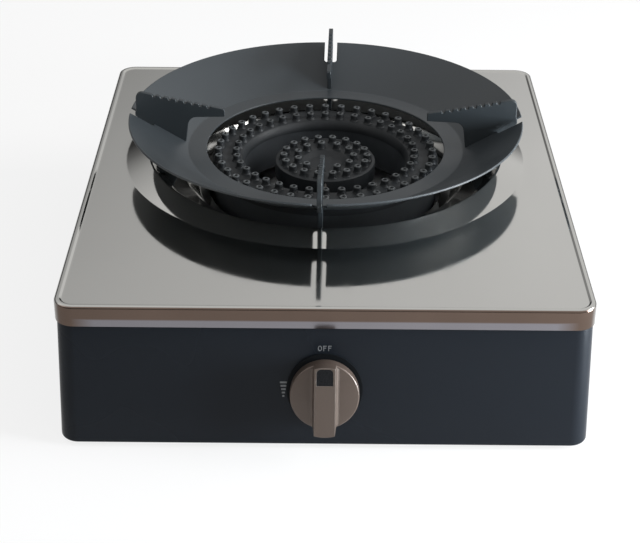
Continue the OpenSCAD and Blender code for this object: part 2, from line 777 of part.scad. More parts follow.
// Coil that pushes the knob back out
module return_spring() {
    wire_r = 0.5;
    coil_r = 6;
    turns = 5;
    steps = 24;
    rise = spring_len - 2 * wire_r - 0.2;
    path = [for (i = [0:turns * steps]) let (a = 360 * i / steps)
        [coil_r * cos(a), coil_r * sin(a), -spring_d - wire_r - 0.1 - rise * i / (turns * steps)]];
    echo(least_gap = rise / turns - 2 * wire_r);
    color("#9a9c9e") on_panel() wire(path, wire_r, 6, [0, 0, 1]);
}

// Sheet that closes the valve and hangs it behind the front panel
module valve_bracket() {
    leg = 21.5;
    t = strip_t;
    back = -bracket_d - bracket_t;
    color("#8d9296") on_panel() difference() {
        union() {
            translate([-14, -leg, back]) cube([igniter_x + igniter_w + 14, 2 * leg, bracket_t]);
            for (s = [0, 1]) mirror([0, s, 0]) {
                translate([-10, leg - t, back]) cube([20, t, -casing_t - back]);
                translate([-10, 9.5, -casing_t - t]) cube([20, leg - 9.5, t]);
            }
        }
        bar_in(spindle_r + run_gap, bracket_d - 1, bracket_d + bracket_t + 1);
        for (s = [-1, 1])
            translate([s * 10.5, 0, 0]) bar_in(1.25, bracket_d - 1, bracket_d + bracket_t + 1);
        panel_screw_places() bar_in(screw_r, 0, casing_t + t + 1);
    }
}

module valve_screws() {
    color("#9a9c9e") on_panel() for (s = [-1, 1]) translate([s * 10.5, 0, -bracket_d]) {
        translate([0, 0, -bracket_t - 5]) cylinder(r = 1.25, h = bracket_t + 5 + lap);
        cylinder(r = 2.2, h = 1.4);
    }
}

module panel_screws() {
    color("#9a9c9e") on_panel() panel_screw_places() rotate([180, 0, 0]) screw(casing_t + 3);
}

// Spark unit beside the spindle
module igniter() {
    color("#2f3236") on_panel() difference() {
        translate([igniter_x, -9, -bracket_d]) cube([igniter_w, 18, bracket_d - 4]);
        bar_across(striker_r + run_gap, igniter_x - 1, igniter_x + 13, cam_d + cam_h / 2);
    }
}

module striker() {
    color("#b8babc") on_panel()
        bar_across(striker_r, striker_x, striker_x + striker_len, cam_d + cam_h / 2);
}

// High-voltage lead from the spark unit to the electrode
module ignition_lead() {
    start_d = 11;
    start = [igniter_x + igniter_w, panel_y + start_d * cos(panel_lean), knob_z - start_d * sin(panel_lean)];
    points = [start, start + [10, 0, 0], [66, front_y + 34, base_top + 22],
        [64, front_y + 90, base_top + 18], [44, electrode_y - 8, base_top + 14],
        [14, electrode_y - 2, base_top + 20],
        [0, electrode_y, base_top + 30], [0, electrode_y, clip_z - 20.1]];
    path = [for (i = [0:len(points) - 2], s = [0:0.25:0.75]) glide(points, i, s),
        points[len(points) - 1]];
    color("#c9c7c0") wire(path, lead_r, 8, unit([0.55, -0.5, 0.67]));
}

module electrode_rod() {
    rod_r = 1.2;
    tip_z = centre_top + 0.6;
    color("#a9abad") translate([0, electrode_y, 0]) {
        translate([0, 0, clip_z - 20]) cylinder(r = rod_r, h = tip_z - clip_z + 20, $fn = 24);
        translate([0, -rod_r, tip_z - rod_r]) rotate([-90, 0, 0])
            cylinder(r = rod_r * 0.8, h = 7, $fn = 24);
    }
}

module electrode_ceramic() {
    color("#e8e6df") translate([0, electrode_y, 0]) difference() {
        union() {
            translate([0, 0, clip_z - 12]) cylinder(r = ceramic_r, h = 26);
            translate([0, 0, clip_z + 2]) cylinder(r = ceramic_r + 1.4, h = 2.5);
        }
        translate([0, 0, clip_z - 13]) cylinder(r = 1.2, h = 30, $fn = 24);
    }
}

// Sheet strip from the cup to the ceramic
module electrode_clip() {
    color("#8d9296") difference() {
        translate([-6, electrode_y - 6, clip_z]) cube([12, electrode_r + 6, 2]);
        translate([0, electrode_y, clip_z - 1]) cylinder(r = ceramic_r, h = 4);
        at_burner() translate([0, 0, clip_z - 1]) cylinder(r = cup_r, h = 4);
    }
}

// Gas pipe along the left side, bent once towards the valve
module gas_pipe() {
    color("#a07c45") difference() {
        gas_run(pipe_r);
        gas_run(pipe_r - 1);
    }
}

module gas_run(r) {
    translate([-pipe_x + bend_r, inlet_y, inlet_z]) rotate([0, 90, 0])
        cylinder(r = r, h = pipe_x - bend_r - boss_end);
    translate([-pipe_x + bend_r, inlet_y + bend_r, inlet_z]) rotate([0, 0, 180]) rotate_extrude(angle = 90)
        translate([bend_r, 0]) circle(r, $fn = 36);
    translate([-pipe_x, inlet_y + bend_r, inlet_z]) rotate([-90, 0, 0])
        cylinder(r = r, h = back_y - casing_t - union_len - inlet_y - bend_r);
}

module pipe_nut() {
    color("#b08d4a") translate([-boss_end - nut_len, inlet_y, inlet_z]) rotate([0, 90, 0])
        difference() {
            cylinder(r = 8, h = nut_len, $fn = 6);
            translate([0, 0, -1]) cylinder(r = pipe_r, h = nut_len + 2);
        }
}

// Frame of the gas inlet: z runs out through the back panel
module at_inlet() {
    translate([-pipe_x, back_y, inlet_z]) rotate([-90, 0, 0]) children();
}

module inlet_union() {
    color("#b08d4a") at_inlet() difference() {
        union() {
            translate([0, 0, -casing_t - union_len]) cylinder(r = 10, h = union_len, $fn = 6);
            translate([0, 0, -casing_t - lap]) cylinder(r = stem_r, h = casing_t + lap + inlet_nut_h);
        }
        translate([0, 0, -40]) cylinder(r = hose_bore, h = 80);
    }
}

module inlet_nut() {
    color("#9a9c9e") at_inlet() difference() {
        cylinder(r = 10.5, h = inlet_nut_h, $fn = 6);
        translate([0, 0, -1]) cylinder(r = stem_r, h = inlet_nut_h + 2);
    }
}

// Spigot for a gas hose, with shallow grip grooves
module hose_nipple() {
    collar = inlet_nut_h + 1.5;
    groove_w = 2.2;
    grooves = [for (i = [0:5]) let (z = collar + 4 + 3.4 * i)
        each [[hose_r, z], [hose_r - 0.6, z], [hose_r, z + groove_w]]];
    color("#b08d4a") at_inlet() rotate_extrude() polygon(concat(
        [[hose_bore, inlet_nut_h], [stem_r, inlet_nut_h], [stem_r, collar], [hose_r, collar]],
        grooves,
        [[hose_r, hose_reach - 1], [hose_r - 1, hose_reach], [hose_bore, hose_reach]]));
}

// Knob: hollow round part, hub and drafted grip bar
module knob() {
    r = knob_dia / 2;
    face = knob_gap + knob_disc_h;
    end = knob_reach;
    hub_r = 7.5;
    color("#7d7068") on_panel() difference() {
        union() {
            rotate_extrude() polygon(concat([[0, knob_gap], [r, knob_gap]],
                arc([r - 1.4, face - 1.4], 1.4, 0, 90, 5), [[0, face]]));
            intersection() {
                cylinder(r = bar_r, h = end);
                grip_bar(face, end, bar_r);
            }
            intersection() {
                cylinder(r = r - 1.4, h = end);
                grip_fillet(face, r);
            }
        }
        translate([0, 0, knob_gap - 1]) difference() {
            cylinder(r = r - 3, h = knob_disc_h - 2.2);
            cylinder(r = hub_r, h = knob_disc_h);
        }
        translate([0, 0, knob_gap - 1]) cylinder(r = spindle_r, h = knob_disc_h + 1);
        insert_solid(end - 0.8, 2);
    }
}

// Bar section: drafted sides and rounded face edges
module grip_bar(face, end, r) {
    half_b = bar_base_w / 2;
    half_f = bar_face_w / 2;
    side = rounded_path([[half_b, face - 1], [half_f, end], [0, end]], [1.6], 4);
    rotate([90, 0, 0]) translate([0, 0, -r]) linear_extrude(2 * r)
        polygon(concat(side, [for (p = reversed(side)) [-p.x, p.y]]));
}

// Hollow fillets along both sides of the bar
module grip_fillet(face, r) {
    foot = bar_base_w / 2 + bar_fillet;
    side = concat([[foot, face - 1]], arc([foot, face + bar_fillet], bar_fillet, 270, 180, 5));
    rotate([90, 0, 0]) translate([0, 0, -r]) linear_extrude(2 * r)
        polygon(concat(side, [for (p = reversed(side)) [-p.x, p.y]]));
}

// Window at the top of the bar, its two upper corners round
module insert_solid(from, h) {
    w = bar_face_w - 2.9;
    tall = 10;
    r = 2.4;
    translate([-w / 2, bar_r - 1 - tall, from]) linear_extrude(h) {
        square([w, tall - r]);
        translate([r, 0]) square([w - 2 * r, tall]);
        for (x = [r, w - r]) translate([x, tall - r]) circle(r);
    }
}

module knob_insert() {
    color("#0f1012") on_panel() insert_solid(knob_reach - 0.8, 0.8);
}

// Leaf that grips the flat of the spindle
module knob_clip() {
    color("#b8babc") on_panel() intersection() {
        translate([0, 0, knob_gap + 1]) cylinder(r = spindle_r, h = knob_disc_h - 2);
        translate([-10, flat_up, 0]) cube([20, 10, 40]);
    }
}

// Flat ring on the panel behind the knob
module knob_bezel() {
    color("#17181a") on_panel() difference() {
        cylinder(r = knob_dia / 2 + 2, h = 0.7);
        translate([0, 0, -1]) cylinder(r = knob_dia / 2 - 2.2, h = 3);
    }
}

casing();
base_plate();
top_plate();
foot_front_left();
foot_front_right();
foot_back_left();
foot_back_right();
foot_screws();
base_screws();
plate_screws();
support_bowl();
fin_front();
fin_back();
fin_left();
fin_right();
burner_ring();
burner_cup();
ring_cap();
centre_cap();
bracket_left();
bracket_right();
burner_screws();
shutter_outer();
shutter_inner();
injector_outer();
injector_inner();
valve_body();
valve_plug();
spindle();
return_spring();
valve_bracket();
valve_screws();
panel_screws();
igniter();
striker();
ignition_lead();
electrode_rod();
electrode_ceramic();
electrode_clip();
gas_pipe();
pipe_nut();
inlet_union();
inlet_nut();
hose_nipple();
knob();
knob_insert();
knob_clip();
knob_bezel();
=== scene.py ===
"""Looks of a tabletop gas hob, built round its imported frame. Metres, +Z up, front towards -Y."""

import math

import bmesh
import bpy
from bpy.props import FloatProperty, FloatVectorProperty, IntProperty, PointerProperty
from bpy.types import Operator, Panel, PropertyGroup
from mathutils import Matrix, Vector


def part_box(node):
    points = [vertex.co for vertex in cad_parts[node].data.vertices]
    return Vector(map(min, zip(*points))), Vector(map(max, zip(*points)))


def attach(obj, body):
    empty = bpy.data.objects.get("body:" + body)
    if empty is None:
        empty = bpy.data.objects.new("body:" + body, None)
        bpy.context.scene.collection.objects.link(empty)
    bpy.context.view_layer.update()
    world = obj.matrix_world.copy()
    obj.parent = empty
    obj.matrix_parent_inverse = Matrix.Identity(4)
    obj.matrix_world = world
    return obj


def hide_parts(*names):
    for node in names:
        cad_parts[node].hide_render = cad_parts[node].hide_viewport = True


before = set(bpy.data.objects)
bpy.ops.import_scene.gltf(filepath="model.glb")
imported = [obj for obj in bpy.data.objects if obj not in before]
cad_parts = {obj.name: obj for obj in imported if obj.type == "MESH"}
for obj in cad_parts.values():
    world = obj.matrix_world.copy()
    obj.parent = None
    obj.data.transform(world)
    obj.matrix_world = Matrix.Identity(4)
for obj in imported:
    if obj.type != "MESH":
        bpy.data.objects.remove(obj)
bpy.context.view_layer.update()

bl_info = {
    "name": "Tabletop gas hob",
    "version": (1, 0, 0),
    "blender": (4, 5, 0),
    "location": "3D View > Sidebar > Hob",
    "description": "Builds the finished look of a one-burner tabletop gas hob round its packed frame",
    "category": "Object",
}

# Places taken from the frame
PLATE_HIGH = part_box("top_plate")[1]
CASE_LOW, CASE_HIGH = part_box("casing")
BOWL_LOW, BOWL_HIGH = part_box("support_bowl")
RING_LOW, RING_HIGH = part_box("ring_cap")
CENTRE_LOW, CENTRE_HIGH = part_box("centre_cap")
KNOB_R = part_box("knob")[1].x
WINDOW_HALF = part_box("knob_insert")[1].x
BURNER_Y = (RING_LOW.y + RING_HIGH.y) / 2
AXIS = (0.0, BURNER_Y)

# Fineness of the meshes
CORNER_STEPS = 10
SIDE_STEPS = 30
ROUND_STEPS = 144
NIPPLE_STEPS = 20

# Points closer than this become one
WELD = 1e-6

# Least radius of an outline's corners
LEAST_CORNER = 0.002

# Flame nipples: reach and height along the swept foot, radius of the rim, chamfer of the hole
NIPPLE_FOOT = ((0.0009, -0.0006), (0.0003, 0.0003), (0.0, 0.0010))
NIPPLE_RIM = 0.0008
HOLE_CHAMFER = (0.0003, 0.0004)

WHITE = (1.0, 1.0, 1.0, 1.0)


def length(name, description, default):
    """A size that a user would change."""
    return FloatProperty(name=name, description=description, default=default, min=0.0,
                         unit="LENGTH", subtype="DISTANCE", precision=4)


def tint(name, description, default):
    """A colour that a user would change, in linear light."""
    return FloatVectorProperty(name=name, description=description, default=default, size=3,
                               min=0.0, max=1.0, subtype="COLOR")


def angle(name, description, degrees):
    """An angle that a user would change, given in degrees."""
    return FloatProperty(name=name, description=description, default=math.radians(degrees),
                         unit="ROTATION", subtype="ANGLE")


def power(name, description, watts):
    """A lamp's power that a user would change."""
    return FloatProperty(name=name, description=description, default=watts, min=0.0,
                         unit="POWER", subtype="POWER")


def factor(name, description, default):
    """A level from 0 to 1 that a user would change."""
    return FloatProperty(name=name, description=description, default=default, min=0.0, max=1.0,
                         subtype="FACTOR")


class HobSizes(PropertyGroup):
    """Sizes of the modelled pieces."""

    plate_corner: length("Plate corner", "Plan radius of the top plate's corners", 0.012)
    sheet: length("Sheet", "Thickness of the plate and casing sheets", 0.0008)
    skirt: length("Skirt", "Height of the plate's folded skirt", 0.013)
    skirt_round: length("Skirt round", "Radius between the skirt and the rolled edge", 0.0018)
    bead_width: length("Bead width", "Width of the rolled edge", 0.003)
    bead_rise: length("Bead rise", "Height of the rolled edge above the flat", 0.0008)
    hump_toe: length("Hump toe", "Radius at the toe of the hump", 0.1345)
    hump_crest: length("Hump crest", "Radius at the crest of the hump", 0.1188)
    hump_rise: length("Hump rise", "Height of the crest above the flat", 0.0062)
    well: length("Well", "Radius of the well inside the hump", 0.1088)
    well_depth: length("Well depth", "Depth of the well's outer edge below the flat", 0.0052)
    well_fall: length("Well fall", "Fall of the well's floor towards the burner", 0.0106)
    well_hole: length("Well hole", "Radius of the plate's hole for the burner", 0.0796)
    well_lip: length("Well lip", "Radius where the well turns down round the burner", 0.0955)
    lip_run: length("Lip run", "Reach of the turned-down lip", 0.0095)
    lip_drop: length("Lip drop", "Height of the turned-down lip", 0.0125)
    lip_fall: length("Lip fall", "Fall from the lip to the plate's hole", 0.0006)
    panel_lean: angle("Panel lean", "Lean of the front panel from upright", 12.4)
    casing_bend: length("Casing bend", "Bend radius along the casing's edges", 0.0016)
    bowl_sheet: length("Bowl sheet", "Thickness of the pan support's bowl", 0.0014)
    ledge_out: length("Ledge outside", "Radius where the bowl's ledge meets the cone", 0.0931)
    ledge_in: length("Ledge inside", "Radius of the flame opening", 0.0804)
    rim_slot: length("Rim slot", "Width of a slot in the bowl's rim", 0.009)
    rim_slot_length: length("Rim slot length", "Reach of a slot in from the rim", 0.0157)
    fin: length("Fin", "Thickness of a fin", 0.003)
    fin_tip: length("Fin tip", "Radius at the inner tip of a fin", 0.068)
    leg: length("Leg", "Width of a fin's leg", 0.0113)
    nipple: length("Nipple", "Outer radius of a flame nipple", 0.0026)
    nipple_rise: length("Nipple rise", "Height of a flame nipple above its cap", 0.0044)
    flame_hole: length("Flame hole", "Radius of a flame hole", 0.0011)
    knob_rise: length("Knob rise", "Height of the knob's axis at the panel above the casing's foot", 0.034)
    knob_gap: length("Knob gap", "Free gap between the knob and the panel", 0.004)
    knob_disc: length("Knob disc", "Depth of the knob's round part", 0.0076)
    bar_reach: length("Bar reach", "Reach of the grip bar beyond the disc", 0.0096)
    bar_end: length("Bar end", "Radius of the grip bar's ends", 0.0212)
    bar_base: length("Bar base", "Half the width of the grip bar where its fillet ends", 0.0065)
    bar_fillet: length("Bar fillet", "Radius of the fillet between the grip bar and the disc", 0.002)
    bar_face: length("Bar face", "Half the width of the grip bar at its face", 0.0060)
    letter: length("Letter", "Height of the letters on the panel", 0.0033)
    notches: IntProperty(name="Notches", description="Grip notches on a fin", default=8, min=1)
    support_turn: angle("Support turn", "Turn of the pan support from square", -1.8)


class HobColours(PropertyGroup):
    """Colours of the finishes."""

    steel: tint("Steel", "Polished steel of the top plate", (0.46, 0.455, 0.435))
    # Painted reflections on the skirt's front: the pale foot strip stands for the floor mirrored in it, the
    # warm band above for a warm, dark surrounding mirrored in it.
    skirt_foot: tint("Skirt foot", "Bright strip along the foot of the skirt", (0.25, 0.24, 0.26))
    skirt_band_painted_reflection: tint("Skirt band", "Warm band along the top of the skirt", (0.145, 0.105, 0.085))
    casing: tint("Casing", "Blue-black paint of the casing", (0.0085, 0.0108, 0.0145))
    enamel: tint("Enamel", "Satin enamel of the pan support", (0.033, 0.0385, 0.0425))
    fin: tint("Fin", "Enamel on the fins", (0.020, 0.0245, 0.0275))
    iron: tint("Iron", "Blackened cast iron of the burner", (0.0085, 0.0102, 0.0118))
    casting: tint("Casting", "Grey iron of the burner's body", (0.030, 0.034, 0.038))
    # Paler nipple rims: partly rubbed metal, partly a painted highlight on their tops.
    iron_wear_and_highlight: tint("Iron wear", "Paler rims of the flame nipples", (0.085, 0.092, 0.095))
    hot_steel: tint("Hot steel", "Steel darkened by heat at the electrode", (0.060, 0.055, 0.052))
    knob: tint("Knob", "Champagne lacquer of the knob", (0.095, 0.070, 0.0565))
    # Painted highlight: the paler lacquer on the knob's rounded edges and slanted faces.
    knob_edge_painted_highlight: tint("Knob edge", "Paler lacquer along the knob's edges", (0.15, 0.13, 0.115))
    black: tint("Black", "Black plastic trim", (0.008, 0.0085, 0.0095))
    # The bezel's darkest matt black is partly its own colour, partly painted shade for the dark ring round
    # the knob.
    bezel: tint("Bezel", "Matt black of the ring behind the knob", (0.0045, 0.0052, 0.006))
    print: tint("Print", "Grey print on the panel", (0.15, 0.155, 0.16))
    zinc: tint("Zinc", "Zinc-plated steel", (0.50, 0.51, 0.52))
    brass: tint("Brass", "Machined brass", (0.58, 0.40, 0.16))
    rubber: tint("Rubber", "Rubber of the feet", (0.018, 0.018, 0.019))
    ceramic: tint("Ceramic", "Glazed ceramic of the electrode", (0.80, 0.78, 0.72))
    sleeve: tint("Sleeve", "Silicone sleeve of the ignition lead", (0.58, 0.56, 0.51))


class HobStage(PropertyGroup):
    """Camera, lamps and the room that gloss shows."""

    eye: FloatVectorProperty(name="Eye", description="Place of the camera", size=3,
                             default=(-0.00494, -0.94129, 0.54714), unit="LENGTH", subtype="XYZ")
    down: angle("Down", "Angle at which the camera looks down", 29.734)
    yaw: angle("Yaw", "Turn of the camera to the right", 0.1255)
    roll: angle("Roll", "Roll of the camera", 0.557)
    lens: FloatProperty(name="Lens", description="Focal length of the camera", default=88.41, min=1.0,
                        unit="CAMERA", subtype="DISTANCE_CAMERA")
    key: power("Key", "Power of the soft lamp at the right", 18.5)
    fill: power("Fill", "Power of the soft lamp at the left", 2.2)
    side: power("Side", "Power of the low lamp at the right", 18.0)
    sky: factor("Sky", "Level of the light from all round", 0.45)
    dim: factor("Dim", "Level of the floor that gloss shows at the left", 0.66)
    horizon: factor("Horizon", "Level that gloss shows near the horizon", 0.05)
    middle: factor("Middle", "Level that gloss shows a quarter of the way up", 0.80)
    overhead: factor("Overhead", "How much gloss gains from there upwards", 0.18)
    window: factor("Window", "How much gloss gains from a window far to the right", 0.30)
    sideways: factor("Sideways", "How much gloss gains at the right of the middle", 0.25)


def arc(centre, radius, start, end, steps):
    """Points round an arc in a plane, between two angles in degrees."""
    turns = [math.radians(start + (end - start) * i / steps) for i in range(steps + 1)]
    return [(centre[0] + radius * math.cos(a), centre[1] + radius * math.sin(a)) for a in turns]


def corner_arc(before, corner, after, radius, steps):
    """Rounded corner between two straight runs."""
    corner = Vector(corner)
    u = (Vector(before) - corner).normalized()
    v = (Vector(after) - corner).normalized()
    half = u.angle(v) / 2
    centre = corner + (u + v).normalized() * (radius / math.sin(half))
    first = corner + u * (radius / math.tan(half)) - centre
    last = corner + v * (radius / math.tan(half)) - centre
    start = math.degrees(math.atan2(first.y, first.x))
    sweep = (math.degrees(math.atan2(last.y, last.x)) - start + 180) % 360 - 180
    return arc(centre, radius, start, start + sweep, steps)


def rounded(points, radii, steps=6):
    """Open path whose inner corners are rounded, one radius a corner, 0 leaves it sharp."""
    path = [points[0]]
    for i, radius in enumerate(radii, start=1):
        if radius > 0:
            path.extend(corner_arc(points[i - 1], points[i], points[i + 1], radius, steps))
        else:
            path.append(points[i])
    path.append(points[-1])
    return path


def loft(bm, rings, closed=True, joined=False):
    """Skin over rings of equally many points; joined also skins from the last ring to the first."""
    rows = [[bm.verts.new(point) for point in ring] for ring in rings]
    pairs = list(zip(rows, rows[1:]))
    if joined:
        pairs.append((rows[-1], rows[0]))
    for low, high in pairs:
        count = len(low)
        for i in range(count if closed else count - 1):
            j = (i + 1) % count
            bm.faces.new((low[i], low[j], high[j], high[i]))
    return rows


def polar(radius, turn, z, centre):
    """Point at a radius, an angle and a height round an upright axis."""
    return Vector((centre[0] + radius * math.cos(turn), centre[1] + radius * math.sin(turn), z))


def lathe(bm, profile, steps, centre, joined=False):
    """Turned skin round an upright axis, from a list of radius and height."""
    turns = [math.tau * i / steps for i in range(steps)]
    return loft(bm, [[polar(r, a, z, centre) for a in turns] for r, z in profile], joined=joined)


def close_ends(bm, rows):
    """Flat faces over the first and the last ring of a skin."""
    bm.faces.new(rows[0][::-1])
    bm.faces.new(rows[-1])


def prism(bm, front, back):
    """Closed solid between two matching outlines."""
    close_ends(bm, loft(bm, [front, back]))


def outline_loop(half, corner, inset, z, cuts):
    """Rounded rectangle set in from a larger one, anticlockwise from above; cuts are points on its sides."""
    wide = half[0] - inset
    deep = half[1] - inset
    corner = max(corner - inset, LEAST_CORNER)
    loop = []
    for quarter, (sx, sy) in enumerate(((1, -1), (1, 1), (-1, 1), (-1, -1))):
        start = 90 * (quarter - 1)
        loop += arc((sx * (wide - corner), sy * (deep - corner)), corner, start, start + 90, CORNER_STEPS)
        loop += [((wide, along), (-along, deep), (-wide, -along), (along, -deep))[quarter]
                 for along in cuts[quarter]]
    return [Vector((x, y, z)) for x, y in loop]


def even_cuts(half, corner, steps):
    """Evenly spaced points along each side of a rounded rectangle."""
    cuts = []
    for reach in (half[1] - corner, half[0] - corner) * 2:
        cuts.append([reach * (2 * i / steps - 1) for i in range(1, steps)])
    return cuts


def show(name, bm, finish, body, replaced=(), smooth=30.0, tidy=True):
    """Turns a mesh in the making into a shown piece that rides on a body of the frame."""
    bmesh.ops.remove_doubles(bm, verts=bm.verts, dist=WELD)
    if tidy:
        bmesh.ops.recalc_face_normals(bm, faces=bm.faces)
    bm.edges.index_update()
    rims = [edge.index for edge in bm.edges if edge.is_boundary]
    mesh = bpy.data.meshes.new(name)
    bm.to_mesh(mesh)
    bm.free()
    mesh.shade_smooth()
    mesh.set_sharp_from_angle(angle=math.radians(smooth))
    for index in rims:
        mesh.edges[index].use_edge_sharp = True
    mesh.materials.append(finish)
    piece = bpy.data.objects.new(name, mesh)
    bpy.context.scene.collection.objects.link(piece)
    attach(piece, body)
    if replaced:
        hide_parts(*replaced)
    return piece


def thicken(piece, depth):
    """Gives a sheet its thickness, against its normals."""
    modifier = piece.modifiers.new("sheet", "SOLIDIFY")
    modifier.thickness = depth
    modifier.offset = -1.0
    modifier.use_even_offset = True


def soften(piece, width, segments=2, above=40.0):
    """Rounds the edges of a piece that are sharper than an angle in degrees."""
    modifier = piece.modifiers.new("edges", "BEVEL")
    modifier.width = width
    modifier.segments = segments
    modifier.limit_method = "ANGLE"
    modifier.angle_limit = math.radians(above)
    return modifier


class Wiring:
    """Adds nodes to a node tree and links them."""

    def __init__(self, tree):
        self.tree = tree

    def add(self, kind, **settings):
        node = self.tree.nodes.new(kind)
        for key, value in settings.items():
            setattr(node, key, value)
        return node

    def put(self, socket, value):
        """Links a socket to another one, or gives it a plain value."""
        if isinstance(value, bpy.types.NodeSocket):
            self.tree.links.new(value, socket)
        else:
            socket.default_value = value

    def feed(self, node, **values):
        """Sets or links inputs by name, with _ for a blank."""
        for key, value in values.items():
            self.put(node.inputs[key.replace("_", " ")], value)
        return node

    def fill(self, node, *values):
        """Sets or links inputs in their order."""
        for socket, value in zip(node.inputs, values):
            self.put(socket, value)
        return node

    def where(self, space):
        """Place of what is shaded, in one of the spaces of texture coordinates."""
        return self.add("ShaderNodeTexCoord").outputs[space]

    def along(self, axis, vector):
        """One part of a vector."""
        return self.feed(self.add("ShaderNodeSeparateXYZ"), Vector=vector).outputs[axis]

    def spread(self, value, low, high, start=0.3, stop=0.7):
        """Stretches part of a value's range over another, and stays inside that one."""
        node = self.feed(self.add("ShaderNodeMapRange"), Value=value, From_Min=start, From_Max=stop,
                         To_Min=low, To_Max=high)
        return node.outputs["Result"]

    def combine(self, operation, *values):
        """Sum, product or other result of one or two values."""
        return self.fill(self.add("ShaderNodeMath", operation=operation), *values).outputs[0]


class Finish(Wiring):
    """A procedural material wired round one Principled shader."""

    colour_inputs = (6, 7)
    colour_output = 2

    def __init__(self, name, metallic=0.0, specular=0.5, coat=0.0):
        self.material = bpy.data.materials.new(name)
        self.material.use_nodes = True
        super().__init__(self.material.node_tree)
        self.shader = self.feed(self.tree.nodes["Principled BSDF"], Metallic=metallic,
                                Specular_IOR_Level=specular, Coat_Weight=coat)
        self.place = self.where("Object")

    def noise(self, scale, detail=2.0, stretch=(1.0, 1.0, 1.0)):
        """Noise over the piece, scale in cells a metre."""
        mapped = self.feed(self.add("ShaderNodeMapping"), Vector=self.place, Scale=stretch)
        node = self.feed(self.add("ShaderNodeTexNoise"), Vector=mapped.outputs["Vector"],
                         Scale=scale, Detail=detail)
        return node.outputs["Fac"]

    def vary(self, share, middle, by):
        """Value that varies to either side of a middle one."""
        return self.spread(share, middle - by, middle + by)

    def height(self, low, high):
        """0 below one height on the piece and 1 above another."""
        return self.spread(self.along("Z", self.place), 0.0, 1.0, low, high)

    def facing_front(self, low, high):
        """0 where the face turns away from the front and 1 where it faces it."""
        normal = self.add("ShaderNodeNewGeometry").outputs["Normal"]
        return self.spread(self.along("Y", normal), 0.0, 1.0, -low, -high)

    def blend(self, share, first, second):
        """Colour between two colours or colour sockets."""
        node = self.feed(self.add("ShaderNodeMix", data_type="RGBA"), Factor=share)
        for index, value in zip(self.colour_inputs, (first, second)):
            plain = not isinstance(value, bpy.types.NodeSocket)
            self.put(node.inputs[index], (*value, 1.0) if plain else value)
        return node.outputs[self.colour_output]

    def shade(self, share, colour, by):
        """Colour that gets darker and lighter by a part of itself."""
        dark = [c * (1 - by) for c in colour]
        light = [min(1.0, c * (1 + by)) for c in colour]
        return self.blend(share, dark, light)

    def bump(self, *layers):
        """Relief from layers of value and depth in metres."""
        normal = {}
        for value, depth in layers:
            node = self.feed(self.add("ShaderNodeBump"), Height=value, Distance=depth, **normal)
            normal = {"Normal": node.outputs["Normal"]}
        self.feed(self.shader, **normal)

    def paint(self, colour, roughness):
        """Links colour and roughness to the shader and hands the material back."""
        self.feed(self.shader, Base_Color=colour, Roughness=roughness)
        return self.material


def polished_steel(colours):
    """Mirror-polished sheet with faint wiping marks."""
    finish = Finish("polished_steel", metallic=1.0)
    cloud = finish.noise(14.0, detail=4.0)
    wipe = finish.noise(90.0, stretch=(1.0, 0.06, 1.0))
    return finish.paint(finish.shade(cloud, colours.steel, by=0.03), finish.vary(wipe, 0.075, by=0.025))


def skirt_steel(colours, painted_band_low):
    """Polished skirt whose front has painted reflections: a warm band above a pale foot strip that fades out
    near the corners.
    """
    blur = 0.0005
    foot_end = 0.132
    band_start = 0.145
    finish = Finish("skirt_steel", metallic=1.0)
    cloud = finish.noise(30.0, detail=4.0)
    wipe = finish.noise(60.0, stretch=(0.06, 0.06, 1.0))
    # Masks that place the painted reflections: above the foot strip, and towards the corners where the strip
    # fades out.
    above = finish.height(painted_band_low - blur, painted_band_low + blur)
    off_middle = finish.combine("ABSOLUTE", finish.along("X", finish.place))
    ends = finish.spread(off_middle, 0.0, 1.0, foot_end, band_start)
    # Painted reflection of the floor in the foot strip, and of a warm surrounding in the band above it.
    foot = finish.shade(cloud, colours.skirt_foot, by=0.05)
    band = finish.shade(cloud, colours.skirt_band_painted_reflection, by=0.12)
    front = finish.blend(finish.combine("MAXIMUM", above, ends), foot, band)
    steel = finish.shade(cloud, colours.steel, by=0.03)
    # Only faces towards the front get the painted reflections.
    with_painted_reflections = finish.blend(finish.facing_front(low=0.3, high=0.7), steel, front)
    return finish.paint(with_painted_reflections, finish.vary(wipe, 0.14, by=0.04))


def casing_paint(colours):
    """Glossy stoved paint with a fine orange peel."""
    finish = Finish("casing_paint", specular=0.16)
    cloud = finish.noise(7.0)
    peel = finish.noise(520.0)
    finish.bump((peel, 0.00003))
    return finish.paint(finish.shade(cloud, colours.casing, by=0.10), finish.vary(cloud, 0.28, by=0.04))


def satin_enamel(name, colour, rough):
    """Satin enamel, slightly dusty, with a fine pebbled face."""
    finish = Finish(name, specular=0.36)
    cloud = finish.noise(24.0, detail=4.0)
    pebble = finish.noise(900.0)
    finish.bump((pebble, 0.00004))
    return finish.paint(finish.shade(cloud, colour, by=0.12), finish.vary(cloud, rough, by=0.05))


def cast_iron(name, colour, wear_and_highlight=None, top=0.0):
    """Casting with a sandy skin and, just below its top, rims painted paler: partly rubbed, partly a painted
    highlight.
    """
    finish = Finish(name, specular=0.30)
    cloud = finish.noise(60.0, detail=4.0)
    sand = finish.noise(1100.0, detail=3.0)
    finish.bump((cloud, 0.00008), (sand, 0.00010))
    shown = finish.shade(cloud, colour, by=0.25)
    if wear_and_highlight is not None:
        # Paler band just below the top: partly rubbed metal, partly a painted highlight.
        rims = finish.height(low=top - 0.0009, high=top - 0.0003)
        patchy = finish.combine("MULTIPLY", rims, finish.spread(sand, low=0.35, high=1.0))
        shown = finish.blend(patchy, shown, wear_and_highlight)
    return finish.paint(shown, finish.vary(cloud, 0.54, by=0.08))


